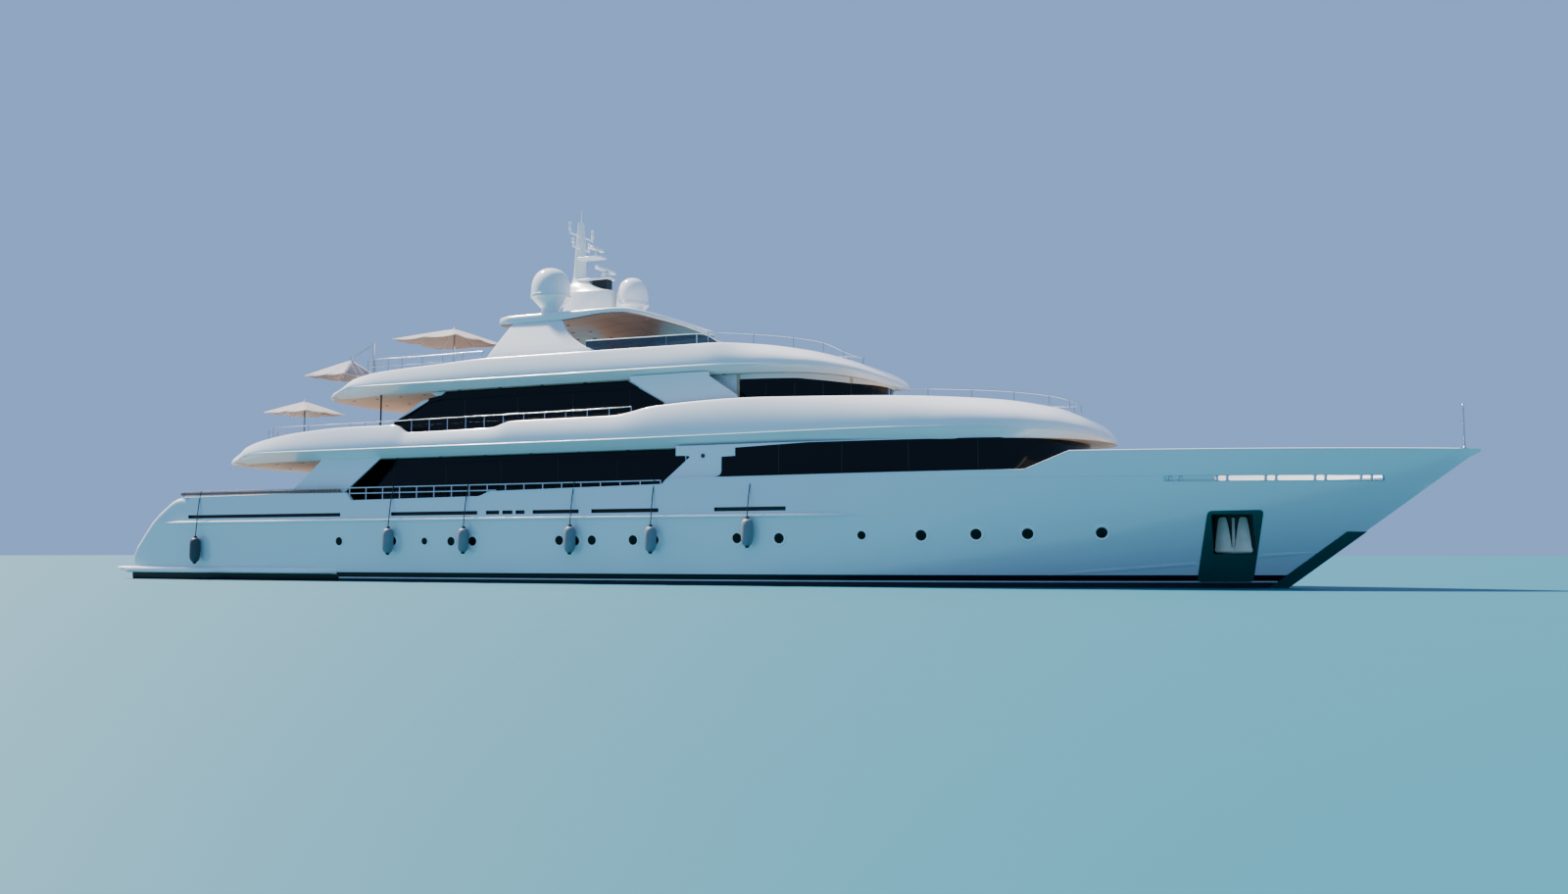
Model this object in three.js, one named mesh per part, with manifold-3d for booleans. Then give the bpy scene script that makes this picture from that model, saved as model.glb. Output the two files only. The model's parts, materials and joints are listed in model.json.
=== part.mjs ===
// A 53 m motor yacht as a 1:2 scale model: X forward, Y to port, Z up, millimetres of the model.
// The origin is amidships on the centreline, at the waterline.
import * as THREE from 'three';
import { mergeVertices } from 'three/addons/utils/BufferGeometryUtils.js';
import Module from 'manifold-3d';

const wasm = await Module();
wasm.setup();

// Driving dimensions
const BOW_X = 13290;
const BOW_Z = 2153;
const STEM_FOOT_X = 10440;
const STERN_X = -13030;
const HALF_BEAM = 2300;
const DRAUGHT = 1450;
const BULWARK = 90;
const SHELL = 75;
const WALL = 60;
const GAP = 0.3;
const MAIN_DECK = 1250;
const FORE_DECK = 1620;
const UPPER_SOFFIT = 2380;
const UPPER_DECK = 2550;
const SUN_SOFFIT = 3660;
const SUN_DECK = 3850;
const HARDTOP_TOP = 5150;
const SIDES = [['starboard', -1], ['port', 1]];

const clamp = (v, lo, hi) => Math.min(hi, Math.max(lo, v));

// Row of a station table at x, each column by straight lines between stations
function stationAt(table, x) {
  const next = clamp(table.findIndex((row) => row[0] >= x), 1, table.length - 1);
  const [a, b] = [table[next - 1], table[next]];
  const t = clamp((x - a[0]) / (b[0] - a[0]), 0, 1);
  return a.map((v, i) => v + (b[i] - v) * t);
}

// Solids
function solidFrom(points, triangles) {
  const keys = new Map();
  const vertices = [];
  const index = points.map((p) => {
    const key = p.map((v) => Math.round(v * 1000)).join();
    if (!keys.has(key)) {
      keys.set(key, keys.size);
      vertices.push(p);
    }
    return keys.get(key);
  });
  const faces = triangles.map((t) => t.map((i) => index[i]))
    .filter(([a, b, c]) => a !== b && b !== c && c !== a);
  const at = (i) => new THREE.Vector3(...vertices[i]);
  const volume = faces.reduce((sum, [a, b, c]) => sum + at(a).dot(at(b).cross(at(c))), 0);
  const outward = volume > 0 ? faces : faces.map(([a, b, c]) => [a, c, b]);
  return new wasm.Manifold(new wasm.Mesh({
    numProp: 3,
    vertProperties: new Float32Array(vertices.flat()),
    triVerts: new Uint32Array(outward.flat()),
  }));
}

function solid(geometry) {
  geometry.deleteAttribute('normal');
  geometry.deleteAttribute('uv');
  const merged = mergeVertices(geometry, 0.001);
  const place = merged.getAttribute('position');
  const points = Array.from({ length: place.count }, (_, i) => [place.getX(i), place.getY(i), place.getZ(i)]);
  const flat = Array.from(merged.index.array);
  const triangles = Array.from({ length: flat.length / 3 }, (_, i) => flat.slice(3 * i, 3 * i + 3));
  return solidFrom(points, triangles);
}

// Closed body through rings of equal length, with its two ends capped
function loft(rings) {
  const n = rings[0].length;
  const triangles = [];
  for (let k = 0; k < rings.length - 1; k++) {
    for (let i = 0; i < n; i++) {
      const [a, b] = [k * n + i, k * n + (i + 1) % n];
      triangles.push([a, b, b + n], [a, b + n, a + n]);
    }
  }
  [[0, -1], [rings.length - 1, 1]].forEach(([k, turn]) => {
    const ring = rings[k];
    const spans = [0, 1, 2].map((axis) => {
      const values = ring.map((p) => p[axis]);
      return Math.max(...values) - Math.min(...values);
    });
    const drop = spans.indexOf(Math.min(...spans));
    const contour = ring.map((p) => new THREE.Vector2(...p.filter((_, axis) => axis !== drop)));
    THREE.ShapeUtils.triangulateShape(contour, []).forEach((face) => {
      const [a, b, c] = [...face].sort((p, q) => p - q).map((i) => i + k * n);
      triangles.push(turn > 0 ? [a, b, c] : [a, c, b]);
    });
  });
  return solidFrom(rings.flat(), triangles);
}

const box = (x0, x1, y0, y1, z0, z1) => solid(
  new THREE.BoxGeometry(x1 - x0, y1 - y0, z1 - z0).translate((x0 + x1) / 2, (y0 + y1) / 2, (z0 + z1) / 2),
);
const column = (outline, z0, z1) => loft([z0, z1].map((z) => outline.map(([x, y]) => [x, y, z])));
const sidePlate = (profile, y0, y1) => loft([y0, y1].map((y) => profile.map(([x, z]) => [x, y, z])));
const union = (...pieces) => pieces.reduce((a, b) => a.add(b));
// From near to far off the centreline, on one side
const across = (side, near, far) => (side > 0 ? [near, far] : [-far, -near]);

function rod(from, to, radius, sides = 6) {
  const [a, b] = [new THREE.Vector3(...from), new THREE.Vector3(...to)];
  const along = b.clone().sub(a);
  const geometry = new THREE.CylinderGeometry(radius, radius, along.length(), sides);
  geometry.applyQuaternion(new THREE.Quaternion().setFromUnitVectors(
    new THREE.Vector3(0, 1, 0), along.clone().normalize(),
  ));
  const middle = a.add(b).multiplyScalar(0.5);
  return solid(geometry.translate(middle.x, middle.y, middle.z));
}

// Turned body about a vertical axis at (x, y), from rows of radius and height
function turned(rows, x, y, sides = 16) {
  const points = rows.map(([r, z]) => new THREE.Vector2(r, z));
  return solid(new THREE.LatheGeometry(points, sides).rotateX(Math.PI / 2).translate(x, y, 0));
}

// Closed plan outline from the port half, listed from aft to forward
const mirrored = (half) => [...half, ...half.map(([x, y]) => [x, -y]).reverse()]
  .filter(([x, y], i, all) => i === 0 || Math.hypot(x - all[i - 1][0], y - all[i - 1][1]) > 0.01);

// The outline moved inward by a distance, corners mitred
function inset(outline, distance) {
  const area = outline.reduce((sum, [x, y], i) => {
    const [u, v] = outline[(i + 1) % outline.length];
    return sum + x * v - u * y;
  }, 0);
  return outline.map(([x, y], i) => {
    const before = outline[(i + outline.length - 1) % outline.length];
    const after = outline[(i + 1) % outline.length];
    const normals = [[before, [x, y]], [[x, y], after]].map(([[x0, y0], [x1, y1]]) => {
      const length = Math.hypot(x1 - x0, y1 - y0) * Math.sign(area);
      return [-(y1 - y0) / length, (x1 - x0) / length];
    });
    const [nx, ny] = [normals[0][0] + normals[1][0], normals[0][1] + normals[1][1]];
    const scale = 2 * distance / (nx * nx + ny * ny);
    return [x + nx * scale, y + ny * scale];
  });
}

// Seats: a piece is cut by what it stands on or hangs under, with a small gap
const standOn = (piece, carrier) => piece.subtract(carrier.translate([0, 0, GAP]));
const hangUnder = (piece, carrier) => piece.subtract(carrier.translate([0, 0, -GAP]));

// Materials
const paint = (color, roughness = 0.25, metalness = 0) => (
  new THREE.MeshStandardMaterial({ color, roughness, metalness })
);
const WHITE = paint('#f2f4f4');
const GLASS = paint('#0b0f12', 0.05);
const STEEL = paint('#c9cdd0', 0.2, 1);
const BRONZE = paint('#a5813f', 0.35, 1);
const RUBBER = paint('#4a5058', 0.7);
const CLOTH = paint('#d9cdb8', 0.9);

const yacht = new THREE.Group();
function node(name, body, material, position = [0, 0, 0]) {
  const data = body.getMesh();
  const geometry = new THREE.BufferGeometry();
  geometry.setAttribute('position', new THREE.BufferAttribute(data.vertProperties, 3));
  geometry.setIndex(new THREE.BufferAttribute(data.triVerts, 1));
  const mesh = new THREE.Mesh(geometry, material);
  mesh.name = name;
  mesh.position.set(...position);
  yacht.add(mesh);
}

// Hull form
const KEEL_AFT_X = -3000;
const FOREFOOT_X = 6000;
const TRANSOM_DEPTH = 420;

function keelZ(x) {
  if (x < KEEL_AFT_X) {
    const t = (KEEL_AFT_X - x) / (KEEL_AFT_X - STERN_X);
    return -DRAUGHT + (DRAUGHT - TRANSOM_DEPTH) * t ** 1.7;
  }
  if (x <= FOREFOOT_X) return -DRAUGHT;
  if (x < STEM_FOOT_X) return -DRAUGHT * (1 - ((x - FOREFOOT_X) / (STEM_FOOT_X - FOREFOOT_X)) ** 2);
  return (x - STEM_FOOT_X) * BOW_Z / (BOW_X - STEM_FOOT_X);
}

// Bearings: round enough to turn, closed to a running fit
const ROUND = 24;
const boreOf = (radius) => (radius + 0.35) / Math.cos(Math.PI / ROUND);

const STEM_HALF = 18;
// Half-breadth of the hull at x and z: fine at the waterline forward, full and flared at the deck
function hullHalf(x, z) {
  const above = Math.max(0, z);
  const level = clamp(above / BOW_Z, 0, 1);
  const shoulder = 1000 + 2000 * level;
  const stemX = STEM_FOOT_X + Math.min(above, BOW_Z) * (BOW_X - STEM_FOOT_X) / BOW_Z;
  let half = HALF_BEAM - 100 * (1 - Math.min(1, above / 1200) ** 0.8);
  if (x > shoulder) {
    const t = Math.min(1, (x - shoulder) / (stemX - shoulder));
    half *= (1 - t ** (2 + 0.2 * level)) ** (1 - 0.13 * level);
  }
  if (x < -8000) half *= 1 - 0.06 * ((-8000 - x) / 5000) ** 2;
  if (z < 0) half *= Math.sqrt(Math.max(0, 1 - (z / keelZ(x)) ** 2.4));
  return Math.max(STEM_HALF, half);
}

// Top edge of the hull side: x, z
const SHEER = [
  [-13030, 290], [-12995, 505], [-12890, 690], [-12740, 850], [-12580, 1022], [-12390, 1214], [-12175, 1389],
  [-11960, 1531], [-11790, 1640], [-11640, 1700], [-11480, 1722], [-11330, 1725], [-8440, 1750], [-6940, 1740], [-6810, 1590], [-3730, 1620],
  [-3470, 1710], [220, 1770], [360, 1870], [1370, 1870], [6690, 1890], [7390, 2170], [13290, 2153],
];
const HULL_STATIONS = [
  ...SHEER.map(([x]) => x), -10000, -5200, -1600, 2600, 3800, 4900, 5900, 8200, 9000, 9700, 10300,
  10800, 11400, 12000, 12600, 13050,
].sort((a, b) => a - b);
const BILGE_ANGLES = [0, 18, 36, 54, 72, 90];
const SIDE_STEPS = [0.12, 0.3, 0.5, 0.68, 0.85, 1];

function hullRing(x) {
  const top = stationAt(SHEER, x)[1];
  const keel = x === BOW_X ? top - 40 : keelZ(x);
  const rows = keel < 0
    ? [
      ...BILGE_ANGLES.map((angle) => keel * Math.cos(THREE.MathUtils.degToRad(angle))),
      ...SIDE_STEPS.map((step) => top * step),
    ]
    : Array.from({ length: 12 }, (_, i) => keel + (top - keel) * i / 11);
  const half = rows.map((z) => [x, hullHalf(x, z), z]);
  return [...half, ...half.map(([, y, z]) => [x, -y, z]).reverse()];
}

// Room inside the hull side between two stations, from a floor up
function hullRoom(x0, x1, floor, side, stations = 12) {
  const levels = [floor, (floor + BOW_Z) / 2, BOW_Z, BOW_Z + 500];
  return loft(Array.from({ length: stations }, (_, i) => {
    const x = x0 + (x1 - x0) * i / (stations - 1);
    const half = levels.map((z) => [x, hullHalf(x, z) - side, z]);
    return [...half, ...half.map(([, y, z]) => [x, -y, z]).reverse()];
  }));
}

// Half-round rub rail along the side
const RUB_RAIL = { from: -11960, to: 4000, z: 1200, height: 60, reach: 45 };
function rubRail(side) {
  const { from, to, z, height, reach } = RUB_RAIL;
  return loft(Array.from({ length: 15 }, (_, i) => {
    const x = from + (to - from) * i / 14;
    const out = i === 0 || i === 14 ? 5 : reach;
    const y = hullHalf(x, z);
    return [[y - 40, -0.5], [y + out * 0.7, -0.5], [y + out, 0], [y + out * 0.7, 0.5], [y - 40, 0.5]]
      .map(([half, step]) => [x, side * half, z + step * height]);
  }));
}

// Boarding stairs beside the stern door: tread depth and rise
const STAIRS = { inner: 1350, outer: 2000, steps: 5, x: -12650, run: 220, z: 300, rise: 190 };
function stairWell(side) {
  const { inner, outer, steps, x, run, z, rise } = STAIRS;
  const [y0, y1] = side > 0 ? [inner, outer] : [-outer, -inner];
  const treads = Array.from({ length: steps + 1 }, (_, i) => box(
    i ? x + run * (i - 1) : STERN_X - 300, i < steps ? x + run * i : -11200, y0, y1, z + rise * i, 3000,
  ));
  return union(...treads);
}

// Stern door on the raked transom, hinged along its top edge
const DOOR = { x: -11980, z: 1512, rake: 47.7, width: 2300, length: 1100, thick: 60, room: 900 };
const doorTurn = THREE.MathUtils.degToRad(DOOR.rake);
function raked(x0, x1, y0, y1, z0, z1) {
  const geometry = new THREE.BoxGeometry(x1 - x0, y1 - y0, z1 - z0);
  geometry.translate((x0 + x1) / 2, (y0 + y1) / 2, (z0 + z1) / 2);
  return solid(geometry.rotateY(doorTurn - Math.PI / 2).translate(DOOR.x, 0, DOOR.z));
}

// Door hinges: knuckles on the hull beside those on the door, centred at y
const HINGES = { at: [-760, 760], radius: 18, half: 50, clear: 5 };
function knuckle(y, radius, half) {
  return rod([DOOR.x, y - half, DOOR.z], [DOOR.x, y + half, DOOR.z], radius, 16);
}
const hingeKnuckles = (grow) => union(...HINGES.at.flatMap((y) => [-1, 1].map((step) => (
  knuckle(y + step * (2 * HINGES.half + GAP), HINGES.radius + grow, HINGES.half + (grow ? GAP : 0))
))));
const doorKnuckles = (grow) => union(...HINGES.at.map((y) => knuckle(y, HINGES.radius + grow, HINGES.half)));

// Slots through the bulwark: from, to
const SCUPPERS = [
  [-11250, -7070], [-5800, -3750], [-3550, -3250], [-3180, -2950], [-2880, -2680], [-2500, -1500],
  [-1230, 160],
];
const BLIND_SLOT = [1270, 2630];
const BOW_SLOT = { from: 8800, to: 11900, z0: 1685, z1: 1760 };
const POCKET = { from: 9390, to: 9980, z0: 530, z1: 1160, back: 520 };
const THRUSTER = { x: 7600, z: -850, radius: 175 };
const SHAFT = { y: 850, z: -1120, radius: 45, from: -11500, to: -7300 };
const RUDDER = { x: -12250, y: 850, stock: 50, top: -430 };
const FIN = { x: -800, y: 1757, z: -950, dip: 51.6, stock: 60 };
const finAxis = (side) => {
  const dip = THREE.MathUtils.degToRad(FIN.dip);
  return [0, side * Math.cos(dip), -Math.sin(dip)];
};
const finPoint = (side, out) => finAxis(side).map((v, i) => v * out + [FIN.x, side * FIN.y, FIN.z][i]);

// The hull with its bulwarks, in one
const DECK_STEP_X = 5600;
function makeHull() {
  let body = loft(HULL_STATIONS.map(hullRing));
  const skeg = loft([[-9800, 8], [-6000, 45], [-3000, 60]].map(([x, half]) => (
    [[x, half, keelZ(x) + 80], [x, -half, keelZ(x) + 80], [x, -half, -DRAUGHT], [x, half, -DRAUGHT]]
  )));
  body = union(body, skeg, rubRail(1), rubRail(-1));
  SIDES.forEach(([, side]) => {
    const y = side * SHAFT.y;
    const strut = [[-11260, -400], [-11060, -400], [-11120, SHAFT.z], [-11240, SHAFT.z]];
    body = union(body, sidePlate(strut, y - 20, y + 20), rod([-11280, y, SHAFT.z], [-11040, y, SHAFT.z], 75, 12));
  });
  const cuts = [
    hullRoom(-11300, DECK_STEP_X, MAIN_DECK, BULWARK, 16),
    hullRoom(DECK_STEP_X - 10, 12050, FORE_DECK, BULWARK, 12),
    raked(-DOOR.length - 5, 5, -DOOR.width / 2 - 5, DOOR.width / 2 + 5, -DOOR.thick - 5, 400),
    raked(-DOOR.length + 60, -60, -DOOR.width / 2 + 80, DOOR.width / 2 - 80, -DOOR.thick - DOOR.room, 0),
    rod([THRUSTER.x, -2500, THRUSTER.z], [THRUSTER.x, 2500, THRUSTER.z], THRUSTER.radius, 12),
  ];
  SIDES.forEach(([, side]) => {
    cuts.push(stairWell(side));
    SCUPPERS.forEach(([x0, x1]) => cuts.push(box(x0, x1, ...across(side, 2000, 2500), 1280, 1350)));
    cuts.push(box(...BLIND_SLOT, ...across(side, 2250, 2500), 1280, 1350));
    cuts.push(box(BOW_SLOT.from, BOW_SLOT.to, ...across(side, 300, 2500), BOW_SLOT.z0, BOW_SLOT.z1));
    cuts.push(box(POCKET.from, POCKET.to, ...across(side, POCKET.back, 2500), POCKET.z0, POCKET.z1));
    cuts.push(rod([SHAFT.from - 200, side * SHAFT.y, SHAFT.z], [SHAFT.to + 5, side * SHAFT.y, SHAFT.z],
      boreOf(SHAFT.radius), ROUND));
    cuts.push(rod([RUDDER.x, side * RUDDER.y, -2000], [RUDDER.x, side * RUDDER.y, RUDDER.top + 5],
      boreOf(RUDDER.stock), ROUND));
    cuts.push(rod(finPoint(side, -205), finPoint(side, 400), boreOf(FIN.stock), ROUND));
  });
  const open = cuts.reduce((a, b) => a.subtract(b), body);
  return union(open, hingeKnuckles(0)).subtract(doorKnuckles(HINGES.clear));
}
const hull = makeHull();

// Bulwarks, parted from the hull above a low curb: stern quarters, long sides, and one round the bow
const CURB = 18;
const PARTING = { aft: -11200, fore: 200 };
const outboard = (side) => across(side, STAIRS.inner + 1, HALF_BEAM + 300);
const quarterRoom = (side, gap) => box(STERN_X, PARTING.aft - gap, ...outboard(side), MAIN_DECK + CURB + gap, 3000);
const sideRoom = (side, gap) => box(PARTING.aft, PARTING.fore - gap, ...outboard(side), MAIN_DECK + CURB + gap, 3000);
const bowRoom = (gap) => union(
  box(PARTING.fore, DECK_STEP_X, -HALF_BEAM - 300, HALF_BEAM + 300, MAIN_DECK + CURB + gap, 3000),
  box(DECK_STEP_X, BOW_X + 100, -HALF_BEAM - 300, HALF_BEAM + 300, FORE_DECK + CURB + gap, 3000),
);
const lowHull = SIDES.reduce((body, [, side]) => (
  body.subtract(quarterRoom(side, 0)).subtract(sideRoom(side, 0))
), hull.subtract(bowRoom(0)));
node('hull', lowHull, WHITE);
SIDES.forEach(([name, side]) => node(`stern_quarter_${name}`, hull.intersect(quarterRoom(side, GAP)), WHITE));
const staffRows = [[0, 2100], [45, 2100], [45, 2175], [16, 2180], [13, 2860], [0, 2860]];
node('bow_bulwark', union(hull.intersect(bowRoom(GAP)), turned(staffRows, 13070, 0, 8)), WHITE);

// Stern platform with its ledges along the hull sides
const PLATFORM = { aft: -13400, fore: -7200, z0: 145, z1: 275, reach: 70, lip: 30 };
function makePlatform() {
  const { aft, fore, z0, z1, reach, lip } = PLATFORM;
  const steps = Array.from({ length: 17 }, (_, i) => fore + (STERN_X - fore) * i / 16);
  const outer = steps.map((x, i) => [x, hullHalf(x, z1) + (i ? reach : 3)]);
  const corner = [[-13300, 2230], [-13365, 2215], [-13392, 2180], [aft, 2110]];
  const inner = steps.map((x) => [x, hullHalf(x, z1) + 0.8]).reverse();
  const edge = [STERN_X - 0.5, hullHalf(STERN_X, z1) + 0.8];
  const half = [[edge[0], 0.1], edge, ...inner.slice(1), ...outer, ...corner, [aft, 0.1]];
  const sides = [half, half.map(([x, y]) => [x, -y])].map((outline) => column(outline, z0, z1));
  const undercut = sidePlate([[aft - 1, z0 - 1], [STERN_X - 60, z0 - 1], [aft - 1, z1 - lip]], -3000, 3000);
  return union(...sides, box(aft, STERN_X - 0.5, -800, 800, z0, z1)).subtract(undercut);
}
node('swim_platform', makePlatform(), WHITE);

const doorLeaf = raked(-DOOR.length, 0, -DOOR.width / 2, DOOR.width / 2, -DOOR.thick, 0)
  .subtract(hingeKnuckles(HINGES.clear));
node('transom_door', union(doorLeaf, doorKnuckles(0)), WHITE);

// Deck shells. Columns: x, half-breadth of soffit, knuckle and top edge, z of soffit, knuckle and top
const UPPER_STATIONS = [
  [-10870, 300, 290, 250, 2380, 2400, 2430], [-10800, 800, 800, 760, 2380, 2400, 2440],
  [-10650, 1350, 1360, 1320, 2380, 2400, 2450], [-10450, 1800, 1820, 1780, 2380, 2402, 2470],
  [-10280, 2010, 2050, 2000, 2380, 2405, 2490], [-10150, 2060, 2140, 2080, 2380, 2412, 2540],
  [-9980, 2060, 2190, 2110, 2380, 2450, 2630], [-9740, 2060, 2230, 2150, 2380, 2550, 2760],
  [-9220, 2060, 2280, 2175, 2380, 2600, 2890], [-8270, 2060, 2300, 2190, 2380, 2600, 3010],
  [-6960, 2060, 2300, 2190, 2380, 2600, 3070], [-5870, 2060, 2300, 2190, 2380, 2600, 3070],
  [-5510, 2060, 2300, 2200, 2380, 2600, 2910], [-3560, 2060, 2300, 2200, 2380, 2600, 2930],
  [-3090, 2060, 2300, 2190, 2380, 2600, 3040], [-910, 2060, 2300, 2190, 2380, 2600, 3050],
  [30, 2060, 2300, 2190, 2380, 2600, 3190], [1700, 2060, 2300, 2180, 2380, 2600, 3260],
  [3040, 2060, 2300, 2150, 2380, 2600, 3230], [4400, 2050, 2270, 2050, 2380, 2600, 3190],
  [5300, 2000, 2180, 1850, 2380, 2590, 3150], [6200, 1830, 1960, 1500, 2380, 2570, 3090],
  [6900, 1530, 1620, 1050, 2380, 2530, 2990], [7350, 1150, 1220, 700, 2380, 2480, 2820],
  [7620, 700, 750, 420, 2380, 2430, 2620], [7750, 250, 260, 200, 2380, 2400, 2460],
];
const SUN_STATIONS = [
  [-8120, 300, 290, 250, 3660, 3675, 3710], [-8060, 850, 850, 800, 3660, 3680, 3740],
  [-7950, 1400, 1420, 1360, 3660, 3685, 3770], [-7820, 1750, 1790, 1720, 3660, 3690, 3790],
  [-7690, 1880, 1960, 1880, 3660, 3700, 3820], [-7560, 1900, 2020, 1930, 3660, 3740, 3849],
  [-7420, 1900, 2060, 1950, 3660, 3800, 3900], [-7100, 1900, 2090, 1980, 3660, 3880, 4060],
  [-6450, 1900, 2100, 2000, 3660, 3880, 4170], [-5110, 1900, 2100, 2000, 3660, 3880, 4240],
  [-3680, 1900, 2100, 2000, 3660, 3880, 4300], [1000, 1900, 2090, 1980, 3660, 3880, 4300],
  [1800, 1850, 2000, 1750, 3660, 3870, 4260], [2650, 1680, 1780, 1350, 3660, 3850, 4150],
  [3300, 1300, 1370, 900, 3640, 3790, 3980], [3700, 850, 900, 550, 3590, 3700, 3800],
  [3930, 400, 430, 300, 3540, 3600, 3650], [4000, 150, 160, 120, 3530, 3550, 3570],
];
function deckShell(stations) {
  return loft(stations.map(([x, soffit, knuckle, top, z0, z1, z2]) => {
    const shoulder = [knuckle - (knuckle - top) * 0.3, z1 + (z2 - z1) * 0.65];
    const half = [[soffit, z0], [knuckle, z1], shoulder, [top, z2]].map(([y, z]) => [x, y, z]);
    return [...half, ...half.map(([, y, z]) => [x, -y, z]).reverse()];
  }));
}
function deckWell(stations, from, to, floor) {
  const inside = stations.map(([x]) => x).filter((x) => x > from && x < to);
  return loft([from, ...inside, to].map((x) => {
    const y = stationAt(stations, x)[3] - SHELL;
    return [[x, y, floor], [x, -y, floor], [x, -y, floor + 1500], [x, y, floor + 1500]];
  }));
}
const upperDeck = deckShell(UPPER_STATIONS).subtract(deckWell(UPPER_STATIONS, -10400, 5000, UPPER_DECK));
const sunDeck = deckShell(SUN_STATIONS).subtract(deckWell(SUN_STATIONS, -7600, 700, SUN_DECK));
node('upper_deck', upperDeck, WHITE);
node('sun_deck', sunDeck, WHITE);

// Rounded front of a house: half-breadth falls to nothing at the nose
function noseCurve(from, to, half, steps = 8) {
  return Array.from({ length: steps }, (_, i) => {
    const t = Math.sin(Math.PI / 2 * i / (steps - 1));
    return [from + (to - from) * t, half * Math.sqrt(Math.max(0, 1 - t ** 2.2))];
  });
}

// Main deck house: narrow aft between the side decks, full beam forward
const MAIN_AFT = -7600;
const MAIN_SIDE = 1800;
const MAIN_STEP = 450;
const MAIN_NOSE = { from: 5500, to: 7300 };
const houseHalf = (x) => hullHalf(x, MAIN_DECK) - BULWARK - 8;
const mainOutline = mirrored([
  [MAIN_AFT, MAIN_SIDE], [MAIN_STEP, MAIN_SIDE],
  ...[MAIN_STEP, 2500, 4000, 4800].map((x) => [x, houseHalf(x)]),
  ...noseCurve(MAIN_NOSE.from, MAIN_NOSE.to, houseHalf(MAIN_NOSE.from)),
]);
const ringWall = (outline, from, to, z0, z1) => (
  column(inset(outline, from), z0, z1).subtract(column(inset(outline, to), z0 - 1, z1 + 1))
);
const MAIN_WINDOW = [[-7380, 1480], [-7380, 2000], [-7000, 2330], [425, 2330], [425, 1480]];
const FORE_WINDOW = { x: 1340, z0: 1905, z1: 2330 };
const DOORWAY = { half: 700, height: 1000 };
const mainWall = ringWall(mainOutline, 0, WALL, MAIN_DECK - 50, UPPER_SOFFIT + 120);
function makeMainHouseAft() {
  let body = mainWall.intersect(box(MAIN_AFT, MAIN_STEP - GAP, -MAIN_SIDE, MAIN_SIDE, 0, 3000));
  SIDES.forEach(([, side]) => {
    body = body.subtract(sidePlate(MAIN_WINDOW, ...across(side, 1700, 1900)));
  });
  return body.subtract(
    box(MAIN_AFT - 50, MAIN_AFT + 100, -DOORWAY.half, DOORWAY.half, 0, MAIN_DECK + DOORWAY.height),
  );
}
function makeMainHouseFore() {
  let body = mainWall.intersect(box(MAIN_STEP, 9000, -HALF_BEAM, HALF_BEAM, 0, 3000))
    .subtract(box(MAIN_NOSE.from, 9000, -HALF_BEAM, HALF_BEAM, 0, FORE_DECK + GAP));
  const pillar = [[230, 1500], [230, 1870], [720, 2240], [520, 2500], [1500, 2500], [1500, 1500]];
  SIDES.forEach(([, side]) => {
    body = union(body, sidePlate(pillar, ...across(side, 2150, 2203)));
  });
  return body.subtract(box(FORE_WINDOW.x, 9000, -HALF_BEAM, HALF_BEAM, FORE_WINDOW.z0, FORE_WINDOW.z1));
}
// Side bulwarks, each with the raked plate that rises from it to the deck above
const RAKED_PLATE = [[-8900, 1450], [-7900, 2340], [-7700, 2600], [-6200, 2600], [-6350, 2380], [-7470, 1450]];
SIDES.forEach(([name, side]) => {
  const plate = sidePlate(RAKED_PLATE, ...across(side, 2185, 2230));
  node(`bulwark_${name}`, hangUnder(union(hull.intersect(sideRoom(side, GAP)), plate), upperDeck), WHITE);
});
const PANE = { near: 15, far: 35, edge: 0.5 };
const betweenMainDecks = (body) => hangUnder(standOn(body, hull), upperDeck);
node('main_house_aft', betweenMainDecks(makeMainHouseAft()), WHITE);
node('main_house_fore', betweenMainDecks(makeMainHouseFore()), WHITE);
const foreGlass = ringWall(mainOutline, PANE.near, PANE.far, FORE_WINDOW.z0 + PANE.edge, FORE_WINDOW.z1 - PANE.edge)
  .intersect(box(FORE_WINDOW.x + PANE.edge, 9000, -3000, 3000, 0, 3000));
node('main_window_fore', foreGlass, GLASS);
SIDES.forEach(([name, side]) => {
  const pane = inset(MAIN_WINDOW, PANE.edge);
  node(`main_window_aft_${name}`, sidePlate(pane, ...across(side, MAIN_SIDE - PANE.far, MAIN_SIDE - PANE.near)), GLASS);
});

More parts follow.
